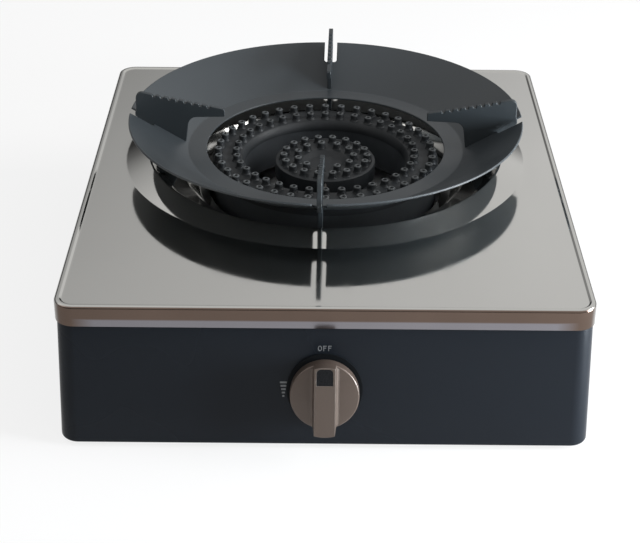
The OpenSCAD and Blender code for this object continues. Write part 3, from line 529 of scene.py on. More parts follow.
def knob_lacquer(name, colour):
    """Champagne lacquer with fine metal flake."""
    finish = Finish(name, metallic=0.35, coat=0.15)
    finish.feed(finish.shader, Coat_Roughness=0.25)
    flake = finish.noise(2600.0)
    cloud = finish.noise(80.0)
    finish.bump((flake, 0.00002))
    return finish.paint(finish.shade(flake, colour, by=0.16), finish.vary(cloud, 0.40, by=0.04))


def moulded_plastic(name, colour, rough, specular=0.4):
    """Moulded plastic or print with a fine grain."""
    finish = Finish(name, specular=specular)
    grain = finish.noise(1500.0)
    cloud = finish.noise(120.0)
    finish.bump((grain, 0.00003))
    return finish.paint(finish.shade(cloud, colour, by=0.10), finish.vary(grain, rough, by=0.05))


def machined_metal(name, colour, rough, stretch):
    """Plated or machined metal with drawn lines and light staining."""
    finish = Finish(name, metallic=1.0)
    lines = finish.noise(700.0, stretch=stretch)
    stain = finish.noise(45.0, detail=4.0)
    finish.bump((lines, 0.00003))
    return finish.paint(finish.shade(stain, colour, by=0.14), finish.vary(lines, rough, by=0.07))


def glazed(name, colour, rough):
    """Pale glazed or moulded insulator with faint specks."""
    finish = Finish(name)
    speck = finish.noise(900.0, detail=3.0)
    cloud = finish.noise(70.0)
    finish.bump((cloud, 0.00003))
    return finish.paint(finish.shade(speck, colour, by=0.06), finish.vary(cloud, rough, by=0.04))


def dress(finish, *nodes):
    """Gives nodes of the frame a finish."""
    for node in nodes:
        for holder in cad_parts[node].material_slots:
            holder.link = "OBJECT"
            holder.material = finish


def plate_top(s):
    """Height of the rolled edge: the plate's flat lies on the casing's top flange."""
    return CASE_HIGH.z + s.sheet + s.bead_rise


def skirt_foot(s):
    """Height of the skirt's lower edge."""
    return plate_top(s) - s.skirt


def well_course(s):
    """Radius and depth below the flat along the well, from its outer edge to its hole."""
    slope = s.well_fall / (s.well - s.well_hole)
    lip = s.well_depth + slope * (s.well - s.well_lip)
    low = lip + s.lip_drop
    return [(s.well, s.well_depth), (s.well_lip, lip), (s.well_lip - s.lip_run, low),
            (s.well_hole, low + s.lip_fall)]


class HOB_OT_top_plate(Operator):
    """Polished top plate with its rolled edge, skirt, hump, well and burner opening"""

    bl_idname = "hob.top_plate"
    bl_label = "Top plate"

    # Height of the pale strip painted on the skirt's foot as a reflection of the floor
    painted_strip_height = 0.0046
    bead_crown = 0.0006
    bead_slant = 0.0004
    bead_rounds = (0.0004, 0.0003)
    border = (0.008, 0.009)
    toe_run = 0.004
    toe_step = 0.001
    hump_rounds = (0.003, 0.0016, 0.002, 0.001, 0.001)
    level_normal = 0.8

    def execute(self, context):
        s = context.scene.hob_sizes
        colours = context.scene.hob_colours
        half = (PLATE_HIGH.x, PLATE_HIGH.y)
        foot = skirt_foot(s)
        flat = plate_top(s) - s.bead_rise
        cuts = even_cuts(half, s.plate_corner, SIDE_STEPS)
        rings = [outline_loop(half, s.plate_corner, i, z, cuts) for i, z in self.edge(s, foot, flat)]
        turns = [math.atan2(p.y - BURNER_Y, p.x) for p in rings[-1]]
        rings += [[polar(r, a, z, AXIS) for a in turns] for r, z in self.hump(s, flat)]
        bm = bmesh.new()
        loft(bm, rings)
        steel = polished_steel(colours)
        plate = show("top_plate_sheet", bm, steel, "body", ("top_plate",),
                     smooth=50.0, tidy=False)
        # Second material: the skirt's steel with painted reflections, given below to its outward faces.
        plate.data.materials.append(skirt_steel(colours, foot + self.painted_strip_height))
        for face in plate.data.polygons:
            outward = face.normal.x * face.center.x + face.normal.y * face.center.y > 0.0
            outside = math.hypot(face.center.x, face.center.y - BURNER_Y) > s.hump_toe
            if outward and outside and abs(face.normal.z) < self.level_normal:
                face.material_index = 1
        thicken(plate, s.sheet)
        return {"FINISHED"}

    def edge(self, s, foot, flat):
        """Inset and height from the skirt's foot over the rolled edge to the flat."""
        top = plate_top(s)
        bead_foot = s.bead_width + self.bead_slant + s.bead_rise
        path = [(0.0, foot), (0.0, foot + self.painted_strip_height)]
        path += arc((s.skirt_round, top - s.skirt_round), s.skirt_round, 180, 90, steps=6)
        path += rounded([(s.bead_width - self.bead_crown, top), (s.bead_width, top), (bead_foot, flat),
                         (bead_foot + 2 * self.bead_crown, flat)], self.bead_rounds, steps=3)
        return path + [(inset, flat) for inset in self.border]

    def hump(self, s, flat):
        """Radius and height from the flat over the hump and down the well."""
        toe = s.hump_toe + self.toe_run
        path = [(toe, flat), (s.hump_toe, flat), (s.hump_crest, flat + s.hump_rise)]
        path += [(r, flat - depth) for r, depth in well_course(s)]
        return [(toe + self.toe_step, flat)] + rounded(path, self.hump_rounds, steps=8)


class HOB_OT_casing(Operator):
    """Painted casing with bent edges, flanges and rear air slots"""

    bl_idname = "hob.casing"
    bl_label = "Casing"

    plate_gap = 0.0002
    slot_first = -0.040
    slot_pitch = 0.013
    slot_width = 0.004
    slot_count = 10
    slot_height = 0.014
    slot_rows = (0.020, 0.042)
    foot_flange = 0.034
    top_flange = 0.009
    back_depth = 0.0005

    def execute(self, context):
        s = context.scene.hob_sizes
        half = (CASE_HIGH.x, CASE_HIGH.y)
        low = CASE_LOW.z
        high = CASE_HIGH.z
        bend = s.casing_bend
        corner = s.plate_corner - s.sheet - self.plate_gap
        lefts = [self.slot_first + self.slot_pitch * i for i in range(self.slot_count)]
        bottoms = [low + 2 * s.sheet + row for row in self.slot_rows]
        cuts = even_cuts(half, corner, steps=2)
        cuts[1] = sorted(-x for left in lefts for x in (left, left + self.slot_width))
        section = arc((bend, low + bend), bend, 270, 180, steps=5)
        section += [(0.0, z) for bottom in bottoms for z in (bottom, bottom + self.slot_height)]
        section += arc((bend, high - bend), bend, 180, 90, steps=5)
        slope = math.tan(s.panel_lean)
        course = [(inset, z, slope * (skirt_foot(s) - z)) for inset, z in section]
        rings = []
        for inset, z, forward in [(self.foot_flange, low, 0.0), *course, (self.top_flange, high, 0.0)]:
            rings.append(outline_loop(half, corner, inset, z, cuts))
            for point in rings[-1]:
                if point.y < 0.0:
                    point.y -= forward
        bm = bmesh.new()
        loft(bm, rings)
        gaps = [face for face in bm.faces if self.in_slot(face.calc_center_median(), lefts, bottoms)]
        bmesh.ops.delete(bm, geom=gaps, context="FACES")
        paint = casing_paint(context.scene.hob_colours)
        casing = show("casing_shell", bm, paint, "body", ("casing",),
                      smooth=50.0, tidy=False)
        thicken(casing, s.sheet)
        return {"FINISHED"}

    def in_slot(self, centre, lefts, bottoms):
        on_back = centre.y > CASE_HIGH.y - self.back_depth
        across = any(left < centre.x < left + self.slot_width for left in lefts)
        level = any(bottom < centre.z < bottom + self.slot_height for bottom in bottoms)
        return on_back and across and level


def bowl_levels(s):
    """Ledge height, rim height, rim radius and slope of the pan support's bowl."""
    ledge = BOWL_LOW.z + s.bowl_sheet
    rim = BOWL_HIGH.z
    rim_r = BOWL_HIGH.x
    return ledge, rim, rim_r, (rim - ledge) / (rim_r - s.ledge_out)


class HOB_OT_support_bowl(Operator):
    """Bowl of the pan support with four slots in its rim"""

    bl_idname = "hob.support_bowl"
    bl_label = "Support bowl"

    columns = 28
    ledge_round = 0.003
    slot_lead = 0.012
    slot_round = 0.002
    slot_shares = (0.08, 0.3, 0.6, 1.0)
    edge_round = 0.0004

    def execute(self, context):
        s = context.scene.hob_sizes
        ledge, rim, rim_r, slope = bowl_levels(s)
        slot_in = rim_r - s.rim_slot_length
        path = rounded([(s.ledge_in, ledge), (s.ledge_out, ledge), (rim_r, rim)], [self.ledge_round])
        cone = [slot_in - self.slot_lead, slot_in]
        cone += [slot_in + self.slot_round * share for share in self.slot_shares]
        cone += [(slot_in + rim_r) / 2]
        path[-1:-1] = [(r, ledge + (r - s.ledge_out) * slope) for r in cone]
        bm = bmesh.new()
        for quarter in range(4):
            turn = s.support_turn + quarter * math.pi / 2
            panel = []
            bridge = []
            for r, z in reversed(path):
                side = math.asin(self.half_slot(r, slot_in, s.rim_slot) / r)
                step = (math.pi / 2 - 2 * side) / self.columns
                panel.append([polar(r, turn + side + step * i, z, AXIS) for i in range(self.columns + 1)])
                if r <= slot_in + WELD:
                    bridge.append([polar(r, turn + a, z, AXIS) for a in (-side, 0.0, side)])
            loft(bm, panel, closed=False)
            loft(bm, bridge, closed=False)
        enamel = satin_enamel("bowl_enamel", context.scene.hob_colours.enamel, rough=0.40)
        bowl = show("bowl_sheet", bm, enamel, "pan_support", ("support_bowl",),
                    smooth=40.0, tidy=False)
        thicken(bowl, s.bowl_sheet)
        soften(bowl, self.edge_round)
        return {"FINISHED"}

    def half_slot(self, r, slot_in, width):
        """Half the width of a slot at a radius, rounded at its inner end."""
        into = min(max(r - slot_in, 0.0), self.slot_round)
        dip = self.slot_round - into
        return width / 2 - self.slot_round + math.sqrt(self.slot_round ** 2 - dip ** 2)


class HOB_OT_fins(Operator):
    """Four notched fins of the pan support, each with its leg"""

    bl_idname = "hob.fins"
    bl_label = "Fins"

    lean = 0.198
    tip_rise = 0.0025
    tip_height = 0.0054
    tip_chamfer = 0.0008
    notch_start = 0.0096
    notch_run = 0.0416
    notch_width = 0.0024
    notch_depth = 0.0013
    notch_slant = 0.2
    end_inset = 0.0038
    end_round = 0.004
    heel_inset = 0.003
    heel_levels = (0.001, -0.001, -0.0034)
    cone_gap = 0.003
    slot_gap = 0.0012
    leg_inset = 0.0014
    leg_chamfer = 0.002
    foot_gap = 0.00005
    ledge_gap = 0.001
    neck_half = 0.0006
    neck_rise = 0.002
    neck_drop = 0.0009
    neck_round = 0.006
    edge_round = 0.0004

    def execute(self, context):
        s = context.scene.hob_sizes
        finish = satin_enamel("fin_enamel", context.scene.hob_colours.fin, rough=0.46)
        outline = self.outline(s)
        for quarter, name in enumerate(("right", "back", "left", "front")):
            turn = Matrix.Rotation(s.support_turn + quarter * math.pi / 2, 4, "Z")
            place = Matrix.Translation((*AXIS, 0.0)) @ turn
            faces = [[place @ Vector((r, y, z)) for r, z in outline] for y in (-s.fin / 2, s.fin / 2)]
            bm = bmesh.new()
            prism(bm, *faces)
            fin = show("fin_plate_" + name, bm, finish, "pan_support", ("fin_" + name,))
            soften(fin, self.edge_round, segments=3)
        return {"FINISHED"}

    def outline(self, s):
        """Radius and height round a fin, clockwise from the foot of its inner tip."""
        ledge, rim, rim_r, slope = bowl_levels(s)
        flat = plate_top(s) - s.bead_rise
        tip = rim + self.tip_rise
        tip_low = tip - self.tip_height
        tip_in = s.fin_tip + self.tip_chamfer
        under = s.bowl_sheet + self.cone_gap
        end = rim_r - self.end_inset
        heel = rim_r - self.heel_inset
        heel_high, heel_middle, heel_low = [rim + up for up in self.heel_levels]
        slot_in = rim_r - s.rim_slot_length
        leg_in = s.ledge_out + self.leg_inset
        leg_out = leg_in + s.leg
        chamfer = self.leg_chamfer
        slant = self.notch_slant * self.notch_width

        def top(r):
            return tip + self.lean * (r - s.fin_tip)

        def cone(r):
            return ledge + (r - s.ledge_out) * slope

        def foot(r):
            outer, inner = well_course(s)[:2]
            share = (outer[0] - r) / (outer[0] - inner[0])
            return flat - outer[1] - share * (inner[1] - outer[1]) + self.foot_gap

        path = [(s.fin_tip, tip_low), (s.fin_tip, tip - self.tip_chamfer), (tip_in, top(tip_in))]
        for i in range(s.notches):
            r = s.fin_tip + self.notch_start + self.notch_run / s.notches * i
            stop = r + self.notch_width
            floor = top(r) - self.notch_depth
            path += [(r, top(r)), (r + slant, floor), (stop - slant, floor), (stop, top(stop))]
        path += corner_arc((s.fin_tip, top(s.fin_tip)), (end, top(end)), (end, rim), self.end_round, steps=5)
        path += [(end, heel_high), (heel, heel_middle), (heel, heel_low),
                 (slot_in + self.slot_gap, cone(slot_in) - under), (leg_out, cone(leg_out) - under),
                 (leg_out, foot(leg_out) + chamfer), (leg_out - chamfer, foot(leg_out - chamfer)),
                 (leg_in + chamfer, foot(leg_in + chamfer)), (leg_in, foot(leg_in) + chamfer),
                 (leg_in, ledge + self.ledge_gap)]
        path += corner_arc((s.ledge_out + self.neck_half, ledge + self.neck_rise),
                           (s.ledge_out - self.neck_half, tip_low - self.neck_drop),
                           (s.fin_tip, tip_low), self.neck_round, steps=5)
        return path


def flame_nipple(bm, s, centre, base, top):
    """Hollow nipple with a swept foot, rounded rim and flame hole."""
    foot = [(s.nipple + reach, base + up) for reach, up in NIPPLE_FOOT]
    rim = arc((s.nipple - NIPPLE_RIM, top - NIPPLE_RIM), NIPPLE_RIM, 0, 90, steps=4)
    wide, deep = HOLE_CHAMFER
    hole = [(s.flame_hole + wide, top), (s.flame_hole, top - deep), (s.flame_hole, foot[0][1])]
    rows = lathe(bm, foot + rim + hole, NIPPLE_STEPS, centre)
    bm.faces.new(rows[-1])


def nipple_row(bm, s, count, radius, base, top):
    """One row of nipples round the burner's axis."""
    for i in range(count):
        flame_nipple(bm, s, polar(radius, math.tau * i / count, base, AXIS), base, top)


class HOB_OT_ring_cap(Operator):
    """Ring cap with two rows of flame nipples"""

    bl_idname = "hob.ring_cap"
    bl_label = "Ring cap"

    inside = 0.0545
    # Nipples in a row, its inset from the cap's edge and how much lower it ends
    rows = ((40, 0.0042, 0.0), (36, 0.0165, 0.0004))
    seat_below = 0.0074
    inner_wall = 0.0034
    inner_slope = (0.0022, 0.0008)
    valley = 0.0014
    shoulder = 0.0024
    rim = 0.001
    crown_rounds = (0.002, 0.004, 0.004, 0.004, 0.0014)
    wall = 0.003
    roof = 0.0044
    collar_inset = 0.0029
    collar_wall = 0.0014

    def execute(self, context):
        s = context.scene.hob_sizes
        c = context.scene.hob_colours
        outside = RING_HIGH.x
        top = RING_HIGH.z - s.nipple_rise
        seat = top - self.seat_below
        row_out, row_in = [outside - inset for count, inset, lower in self.rows]
        run, fall = self.inner_slope
        crown = [(self.inside, seat + self.inner_wall), (self.inside + run, top - fall), (row_in, top),
                 ((row_in + row_out) / 2, top - self.valley), (row_out, top), (outside, top - self.shoulder),
                 (outside, seat + self.rim)]
        hollow = outside - self.wall
        roof = top - self.roof
        collar = self.inside + self.collar_inset
        collar_out = collar + self.collar_wall
        under = [(outside, seat), (hollow, seat), (hollow, roof), (collar_out, roof),
                 (collar_out, RING_LOW.z), (collar, RING_LOW.z), (collar, seat), (self.inside, seat)]
        bm = bmesh.new()
        lathe(bm, rounded(crown, self.crown_rounds, steps=5) + under, ROUND_STEPS, AXIS, joined=True)
        for count, inset, lower in self.rows:
            nipple_row(bm, s, count, outside - inset, top, RING_HIGH.z - lower)
        iron = cast_iron("ring_iron", c.iron, c.iron_wear_and_highlight, RING_HIGH.z)
        show("ring_cap_casting", bm, iron, "ring_cap", ("ring_cap",), smooth=40.0)
        return {"FINISHED"}


class HOB_OT_centre_cap(Operator):
    """Centre cap with two rows of flame nipples and a dished middle"""

    bl_idname = "hob.centre_cap"
    bl_label = "Centre cap"

    # Nipples in a row and its inset from the cap's edge
    rows = ((18, 0.0056), (11, 0.0148))
    seat_below = 0.0078
    middle = 0.0006
    dish = 0.003
    dish_runs = (0.008, 0.004)
    dish_edge = 0.0002
    valley = (0.002, 0.0006)
    bead = (0.002, 0.0004)
    rim_drop = 0.0002
    rim = 0.001
    crown_rounds = (0.002, 0.003, 0.0, 0.004, 0.0008, 0.0006)
    skirt_wall = 0.0017
    seat_wall = 0.0023
    roof = (0.0027, 0.006)

    def execute(self, context):
        s = context.scene.hob_sizes
        c = context.scene.hob_colours
        outside = CENTRE_HIGH.x
        top = CENTRE_HIGH.z - s.nipple_rise
        seat = top - self.seat_below
        row_out, row_in = [outside - inset for count, inset in self.rows]
        dish_in, dish_out = [row_in - run for run in self.dish_runs]
        crown = [(self.middle, top - self.dish), (dish_in, top - self.dish), (dish_out, top - self.dish_edge),
                 (row_in, top), (row_out + self.valley[0], top - self.valley[1]),
                 (outside - self.bead[0], top + self.bead[1]), (outside, top - self.rim_drop),
                 (outside, seat + self.rim)]
        skirt = outside - self.skirt_wall
        roof = top - self.roof[1]
        under = [(outside, CENTRE_LOW.z), (skirt, CENTRE_LOW.z), (skirt, seat),
                 (skirt - self.seat_wall, seat), (skirt - self.roof[0], roof), (self.middle, roof)]
        bm = bmesh.new()
        close_ends(bm, lathe(bm, rounded(crown, self.crown_rounds, steps=5) + under, ROUND_STEPS, AXIS))
        for count, inset in self.rows:
            nipple_row(bm, s, count, outside - inset, top, CENTRE_HIGH.z)
        iron = cast_iron("centre_iron", c.iron, c.iron_wear_and_highlight, CENTRE_HIGH.z)
        show("centre_cap_casting", bm, iron, "centre_cap", ("centre_cap",), smooth=40.0)
        return {"FINISHED"}


def panel_frame(s):
    """Frame of the knob's axis on the leaning panel: right, up the panel and out of it."""
    knob_z = CASE_LOW.z + s.knob_rise
    place = (0.0, -CASE_HIGH.y - (skirt_foot(s) - knob_z) * math.tan(s.panel_lean), knob_z)
    return Matrix.Translation(place) @ Matrix.Rotation(math.pi / 2 - s.panel_lean, 4, "X")


class HOB_OT_knob(Operator):
    """Knob with its drafted grip bar and window"""

    bl_idname = "hob.knob"
    bl_label = "Knob"

    steps = 96
    core = 0.0040
    wall = 0.003
    crown = 0.0022
    disc_round = 0.0010
    end_steps = 10
    end_inset = 0.0016
    bar_sunk = 0.0006
    bar_round = 0.0009
    # Slant and size of the faces that show the paler lacquer, a painted highlight along the knob's edges
    painted_highlight_slant = (0.2, 0.95)
    painted_highlight_area = 4e-6
    window_below = 0.0010
    window_height = 0.0100
    window_round = 0.0024
    window_depth = 0.0006
    pane_gap = 0.00012
    pane_levels = (0.00055, 0.0001)
    pane_round = 0.00015

    def execute(self, context):
        s = context.scene.hob_sizes
        colours = context.scene.hob_colours
        front = s.knob_gap + s.knob_disc
        face = front + s.bar_reach
        bm = bmesh.new()
        self.disc(bm, s.knob_gap, front)
        self.bar(bm, s, front, face)
        bm.normal_update()
        least, most = self.painted_highlight_slant
        # Small slanted faces above the disc's front get the painted highlight.
        for part in bm.faces:
            slanting = least < abs(part.normal.z) < most and part.calc_area() < self.painted_highlight_area
            part.material_index = 1 if slanting and part.calc_center_median().z > front else 0
        bm.transform(panel_frame(s))
        lacquer = knob_lacquer("knob_lacquer", colours.knob)
        knob = show("knob_moulding", bm, lacquer, "knob", ("knob",), smooth=35.0)
        # Second material: the paler lacquer, a painted highlight, also given to the rounded edges below.
        knob.data.materials.append(knob_lacquer("knob_edge_lacquer", colours.knob_edge_painted_highlight))
        soften(knob, self.bar_round, segments=4, above=32.0).material = 1
        self.window(s, colours, face)
        return {"FINISHED"}

    def disc(self, bm, back, front):
        hollow = KNOB_R - self.wall
        roof = front - self.crown
        profile = [(self.core, roof), (hollow, roof), (hollow, back), (KNOB_R, back)]
        profile += arc((KNOB_R - self.disc_round, front - self.disc_round), self.disc_round, 0, 90, steps=6)
        profile += [(self.core, front)]
        close_ends(bm, lathe(bm, profile, self.steps, (0.0, 0.0)))

    def bar(self, bm, s, front, face):
        inside = KNOB_R - self.end_inset
        loops = [self.bar_loop(s.bar_base + s.bar_fillet, inside, front - self.bar_sunk)]
        for x, z in arc((s.bar_fillet, s.bar_fillet), s.bar_fillet, 270, 180, steps=5):
            share = z / s.bar_fillet
            loops.append(self.bar_loop(s.bar_base + x, inside + share * (s.bar_end - inside), front + z))
        loops.append(self.bar_loop(s.bar_face, s.bar_end, face))
        rows = loft(bm, loops)
        bm.faces.new(rows[0][::-1])
        pocket, floor = loft(bm, [self.pane(s, z, 0.0) for z in (face, face - self.window_depth)])
        bm.faces.new(floor)
        edges = []
        for loop in (rows[-1], pocket):
            edges += [bm.edges.get((a, b)) for a, b in zip(loop, loop[1:] + loop[:1])]
        bmesh.ops.triangle_fill(bm, use_beauty=True, use_dissolve=False, edges=edges)

    def bar_loop(self, half, radius, out):
        """Bar outline: straight sides and round ends."""
        reach = math.degrees(math.acos(half / radius))
        ends = arc((0, 0), radius, reach, 180 - reach, self.end_steps)
        ends += arc((0, 0), radius, 180 + reach, 360 - reach, self.end_steps)
        return [Vector((x, y, out)) for x, y in ends]

    def pane(self, s, out, inset):
        """Outline of the window, its two upper corners round."""
        half = WINDOW_HALF - inset
        high = s.bar_end - self.window_below - inset
        low = s.bar_end - self.window_below - self.window_height + inset
        points = [(-half, low), (half, low)]
        points += corner_arc((half, low), (half, high), (-half, high), self.window_round, steps=6)
        points += corner_arc((half, high), (-half, high), (-half, low), self.window_round, steps=6)
        return [Vector((x, y, out)) for x, y in points]

    def window(self, s, colours, face):
        bm = bmesh.new()
        prism(bm, *(self.pane(s, face - depth, self.pane_gap) for depth in self.pane_levels))
        bm.transform(panel_frame(s))
        plastic = moulded_plastic("window_plastic", colours.black, rough=0.28, specular=0.12)
        insert = show("knob_window", bm, plastic, "knob", ("knob_insert",), smooth=35.0)
        soften(insert, self.pane_round, above=50.0)


class HOB_OT_marks(Operator):
    """Printed marks on the front panel: the off mark and a flow wedge"""

    bl_idname = "hob.marks"
    bl_label = "Panel marks"

    depth = 0.00008
    stroke = 0.00048
    off_up = 0.0252
    letter_share = 0.72
    letter_gap = 0.0005
    oval_steps = 28
    f_inset = 0.0002
    f_middle = 0.48
    f_shorter = 1.6
    wedge_left = 0.0238
    wedge_top = 0.0036
    wedge_pitch = 0.0021
    wedge_bar = 0.0011
    wedge_widths = (0.0040, 0.0033, 0.0026, 0.0019, 0.0012)

    def execute(self, context):
        s = context.scene.hob_sizes
        ink = moulded_plastic("panel_print", context.scene.hob_colours.print, rough=0.45)
        marks = {"off_mark": bmesh.new(), "flow_mark": bmesh.new()}
        self.off(marks["off_mark"], s.letter)
        self.wedge(marks["flow_mark"])
        for name, bm in marks.items():
            bm.transform(panel_frame(s))
            show(name, bm, ink, "body", smooth=35.0)
        return {"FINISHED"}

    def box(self, bm, left, low, width, height):
        corners = [(left, low), (left + width, low), (left + width, low + height), (left, low + height)]
        prism(bm, *([Vector((x, y, out)) for x, y in corners] for out in (0.0, self.depth)))

    def off(self, bm, height):
        """The word off in capitals."""
        width = self.letter_share * height
        step = width + self.letter_gap
        self.letter_o(bm, -step, height, width)
        for i in range(2):
            self.letter_f(bm, step * i, height, width)

    def letter_o(self, bm, x, height, width):
        outer = self.oval(x, width / 2, height / 2)
        inner = self.oval(x, width / 2 - self.stroke, height / 2 - self.stroke)
        rings = [(outer, 0.0), (outer, self.depth), (inner, self.depth), (inner, 0.0)]
        loft(bm, [[Vector((px, py, out)) for px, py in oval] for oval, out in rings], joined=True)

    def oval(self, x, half_w, half_h):
        turns = [math.tau * i / self.oval_steps for i in range(self.oval_steps)]
        return [(x + half_w * math.cos(a), self.off_up + half_h * math.sin(a)) for a in turns]

    def letter_f(self, bm, x, height, width):
        left = x - width / 2 + self.f_inset
        low = self.off_up - height / 2
        reach = width - 2 * self.f_inset
        arm = left + self.stroke
        self.box(bm, left, low, self.stroke, height)
        self.box(bm, arm, low + height - self.stroke, reach - self.stroke, self.stroke)
        self.box(bm, arm, low + self.f_middle * height, reach - self.f_shorter * self.stroke, self.stroke)

    def wedge(self, bm):
        """Bars that shrink downwards, from full flow to low flow."""
        for i, width in enumerate(self.wedge_widths):
            up = self.wedge_top - self.wedge_pitch * i
            self.box(bm, -self.wedge_left - width / 2, up, width, self.wedge_bar)


class HOB_OT_inner_parts(Operator):
    """Finishes of the pieces that keep their frame shape"""

    bl_idname = "hob.inner_parts"
    bl_label = "Inner parts"

    def execute(self, context):
        c = context.scene.hob_colours
        round_lines = (1.0, 0.05, 1.0)
        flat_lines = (0.06, 1.0, 1.0)
        zinc = machined_metal("zinc_plate", c.zinc, rough=0.34, stretch=flat_lines)
        brass = machined_metal("machined_brass", c.brass, rough=0.30, stretch=round_lines)
        dress(zinc, "base_plate", "foot_screws", "base_screws", "plate_screws", "bracket_left",
              "bracket_right", "burner_screws", "shutter_outer", "shutter_inner", "valve_body", "spindle",
              "return_spring", "valve_bracket", "valve_screws", "panel_screws", "striker", "inlet_nut",
              "knob_clip")
        hot_steel = machined_metal("hot_steel", c.hot_steel, rough=0.45, stretch=round_lines)
        dress(hot_steel, "electrode_rod", "electrode_clip")
        dress(brass, "injector_outer", "injector_inner", "valve_plug", "gas_pipe", "pipe_nut",
              "inlet_union", "hose_nipple")
        dress(cast_iron("body_iron", c.casting), "burner_ring", "burner_cup")
        dress(moulded_plastic("foot_rubber", c.rubber, rough=0.75, specular=0.3), "foot_front_left",
              "foot_front_right", "foot_back_left", "foot_back_right")
        dress(moulded_plastic("trim_plastic", c.black, rough=0.40), "igniter")
        # Darkest matt black on the bezel: partly its own colour, partly painted shade round the knob.
        dress(moulded_plastic("bezel_plastic", c.bezel, rough=0.55, specular=0.10), "knob_bezel")
        dress(glazed("electrode_glaze", c.ceramic, rough=0.22), "electrode_ceramic")
        dress(glazed("lead_silicone", c.sleeve, rough=0.55), "ignition_lead")
        return {"FINISHED"}


class StageWiring(Wiring):
    """Wiring that can tell rays that see the stage from rays that light the object."""

    def __init__(self, tree):
        super().__init__(tree)
        self.rays = self.add("ShaderNodeLightPath").outputs

    def mix(self, share, first, second):
        """Value between two values."""
        return self.feed(self.add("ShaderNodeMix"), Factor=share, A=first, B=second).outputs["Result"]

    def seen(self):
        """1 for camera, glossy and transmission rays, 0 for those that light the object."""
        shown = self.combine("MAXIMUM", self.rays["Is Camera Ray"], self.rays["Is Glossy Ray"])
        return self.combine("MAXIMUM", shown, self.rays["Is Transmission Ray"])

    def seen_level(self, gloss):
        """1 to the camera and another level to gloss."""
        return self.mix(self.rays["Is Glossy Ray"], 1.0, gloss)


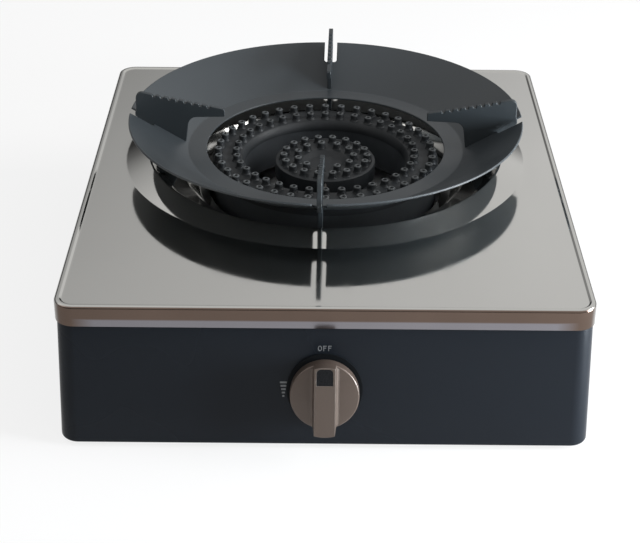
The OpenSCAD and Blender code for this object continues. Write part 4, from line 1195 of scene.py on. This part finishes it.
class HOB_OT_stage(Operator):
    """Camera, soft lamps, pale floor and white surroundings"""

    bl_idname = "hob.stage"
    bl_label = "Stage"

    sensor = 36.0
    # Power setting, place, size and colour of each lamp, and the point that all light
    lamps = (("key", (1.20, -0.12, 0.66), 0.8, (1.0, 1.0, 1.0)),
             ("fill", (-1.10, -0.30, 0.70), 1.0, (1.0, 1.0, 1.0)),
             ("side", (0.80, -0.34, 0.16), 0.3, (0.85, 0.93, 1.0)))
    lit_point = (0.0, 0.0, 0.08)
    floor_half = 3.0
    floor_grey = (0.90, 0.90, 0.90, 1.0)
    floor_glow = 0.80
    floor_dim = (-0.25, 0.25)
    # Where the room's levels change, as the upward or rightward part of a direction
    room_low = (0.16, 0.43)
    room_high = (0.43, 0.70)
    room_middle = (-0.17, 0.17)
    room_window = (0.20, 0.45)
    sides_rise = (0.10, 0.30)
    sides_fade = (0.43, 0.65)

    def execute(self, context):
        stage = context.scene.hob_stage
        self.camera(context, stage)
        self.world(context, stage)
        self.floor(context, stage)
        for name, place, size, colour in self.lamps:
            self.lamp(context, name + "_lamp", getattr(stage, name), place, size, colour)
        context.scene.view_settings.view_transform = "Standard"
        return {"FINISHED"}

    def camera(self, context, stage):
        data = bpy.data.cameras.new("camera")
        data.sensor_width = self.sensor
        data.lens = stage.lens
        camera = bpy.data.objects.new("camera", data)
        turn = Matrix.Rotation(-stage.yaw, 4, "Z") @ Matrix.Rotation(math.pi / 2 - stage.down, 4, "X")
        camera.matrix_world = Matrix.Translation(stage.eye) @ turn @ Matrix.Rotation(stage.roll, 4, "Z")
        context.scene.collection.objects.link(camera)
        context.scene.camera = camera

    def room(self, wiring, stage):
        """Room that gloss shows: dark at the horizon, bright above, lighter towards a window at the right."""
        direction = wiring.where("Generated")
        right = wiring.along("X", direction)
        up = wiring.along("Z", direction)
        low = wiring.spread(up, stage.horizon, stage.middle, *self.room_low)
        high = wiring.spread(up, 0.0, stage.overhead, *self.room_high)
        lean = wiring.spread(right, -stage.sideways, stage.sideways, *self.room_middle)
        window = wiring.spread(right, 0.0, stage.window, *self.room_window)
        rise = wiring.spread(up, 0.0, 1.0, *self.sides_rise)
        fade = wiring.spread(up, 1.0, 0.0, *self.sides_fade)
        band = wiring.combine("MULTIPLY", rise, fade)
        sides = wiring.combine("MULTIPLY", wiring.combine("ADD", lean, window), band)
        level = wiring.combine("ADD", wiring.combine("ADD", low, high), sides)
        return wiring.spread(level, stage.horizon, 1.0, stage.horizon, 1.0)

    def world(self, context, stage):
        world = bpy.data.worlds.new("studio")
        world.use_nodes = True
        wiring = StageWiring(world.node_tree)
        strength = wiring.mix(wiring.seen(), stage.sky, wiring.seen_level(self.room(wiring, stage)))
        wiring.feed(world.node_tree.nodes["Background"], Color=WHITE, Strength=strength)
        context.scene.world = world

    def floor(self, context, stage):
        half = self.floor_half
        mesh = bpy.data.meshes.new("floor")
        mesh.from_pydata([(-half, -half, 0.0), (half, -half, 0.0), (half, half, 0.0), (-half, half, 0.0)], [],
                         [(0, 1, 2, 3)])
        material = bpy.data.materials.new("pale_floor")
        material.use_nodes = True
        tree = material.node_tree
        tree.nodes.remove(tree.nodes["Principled BSDF"])
        wiring = StageWiring(tree)
        gloss = wiring.spread(wiring.along("X", wiring.where("Object")), stage.dim, 1.0, *self.floor_dim)
        matt = wiring.feed(wiring.add("ShaderNodeBsdfDiffuse"), Color=self.floor_grey)
        glow = wiring.feed(wiring.add("ShaderNodeEmission"), Color=WHITE, Strength=wiring.seen_level(gloss))
        share = wiring.combine("MULTIPLY", wiring.seen(), self.floor_glow)
        mix = wiring.fill(wiring.add("ShaderNodeMixShader"), share, matt.outputs["BSDF"],
                          glow.outputs["Emission"])
        wiring.feed(tree.nodes["Material Output"], Surface=mix.outputs["Shader"])
        mesh.materials.append(material)
        floor = bpy.data.objects.new("floor", mesh)
        context.scene.collection.objects.link(floor)

    def lamp(self, context, name, watts, place, size, colour):
        data = bpy.data.lights.new(name, "AREA")
        data.energy = watts
        data.color = colour
        data.size = size
        lamp = bpy.data.objects.new(name, data)
        lamp.location = place
        lamp.rotation_mode = "QUATERNION"
        lamp.rotation_quaternion = (Vector(self.lit_point) - Vector(place)).to_track_quat("-Z", "Y")
        context.scene.collection.objects.link(lamp)


class HOB_PT_panel(Panel):
    """Lists the sizes, colours and steps of the hob"""

    bl_label = "Tabletop gas hob"
    bl_idname = "HOB_PT_panel"
    bl_space_type = "VIEW_3D"
    bl_region_type = "UI"
    bl_category = "Hob"

    def draw(self, context):
        for step in STEPS:
            self.layout.operator(step.bl_idname)
        for group in (context.scene.hob_sizes, context.scene.hob_colours, context.scene.hob_stage):
            box = self.layout.box()
            for key in group.__annotations__:
                box.prop(group, key)


STEPS = (HOB_OT_stage, HOB_OT_casing, HOB_OT_top_plate, HOB_OT_support_bowl, HOB_OT_fins, HOB_OT_ring_cap,
         HOB_OT_centre_cap, HOB_OT_knob, HOB_OT_marks, HOB_OT_inner_parts)
CLASSES = (HobSizes, HobColours, HobStage, *STEPS, HOB_PT_panel)


def register():
    for item in CLASSES:
        bpy.utils.register_class(item)
    bpy.types.Scene.hob_sizes = PointerProperty(type=HobSizes)
    bpy.types.Scene.hob_colours = PointerProperty(type=HobColours)
    bpy.types.Scene.hob_stage = PointerProperty(type=HobStage)


def unregister():
    del bpy.types.Scene.hob_stage
    del bpy.types.Scene.hob_colours
    del bpy.types.Scene.hob_sizes
    for item in reversed(CLASSES):
        bpy.utils.unregister_class(item)


def main():
    """Builds the hob and its stage."""
    register()
    for step in STEPS:
        group, name = step.bl_idname.split(".")
        getattr(getattr(bpy.ops, group), name)()


if __name__ == "__main__":
    main()
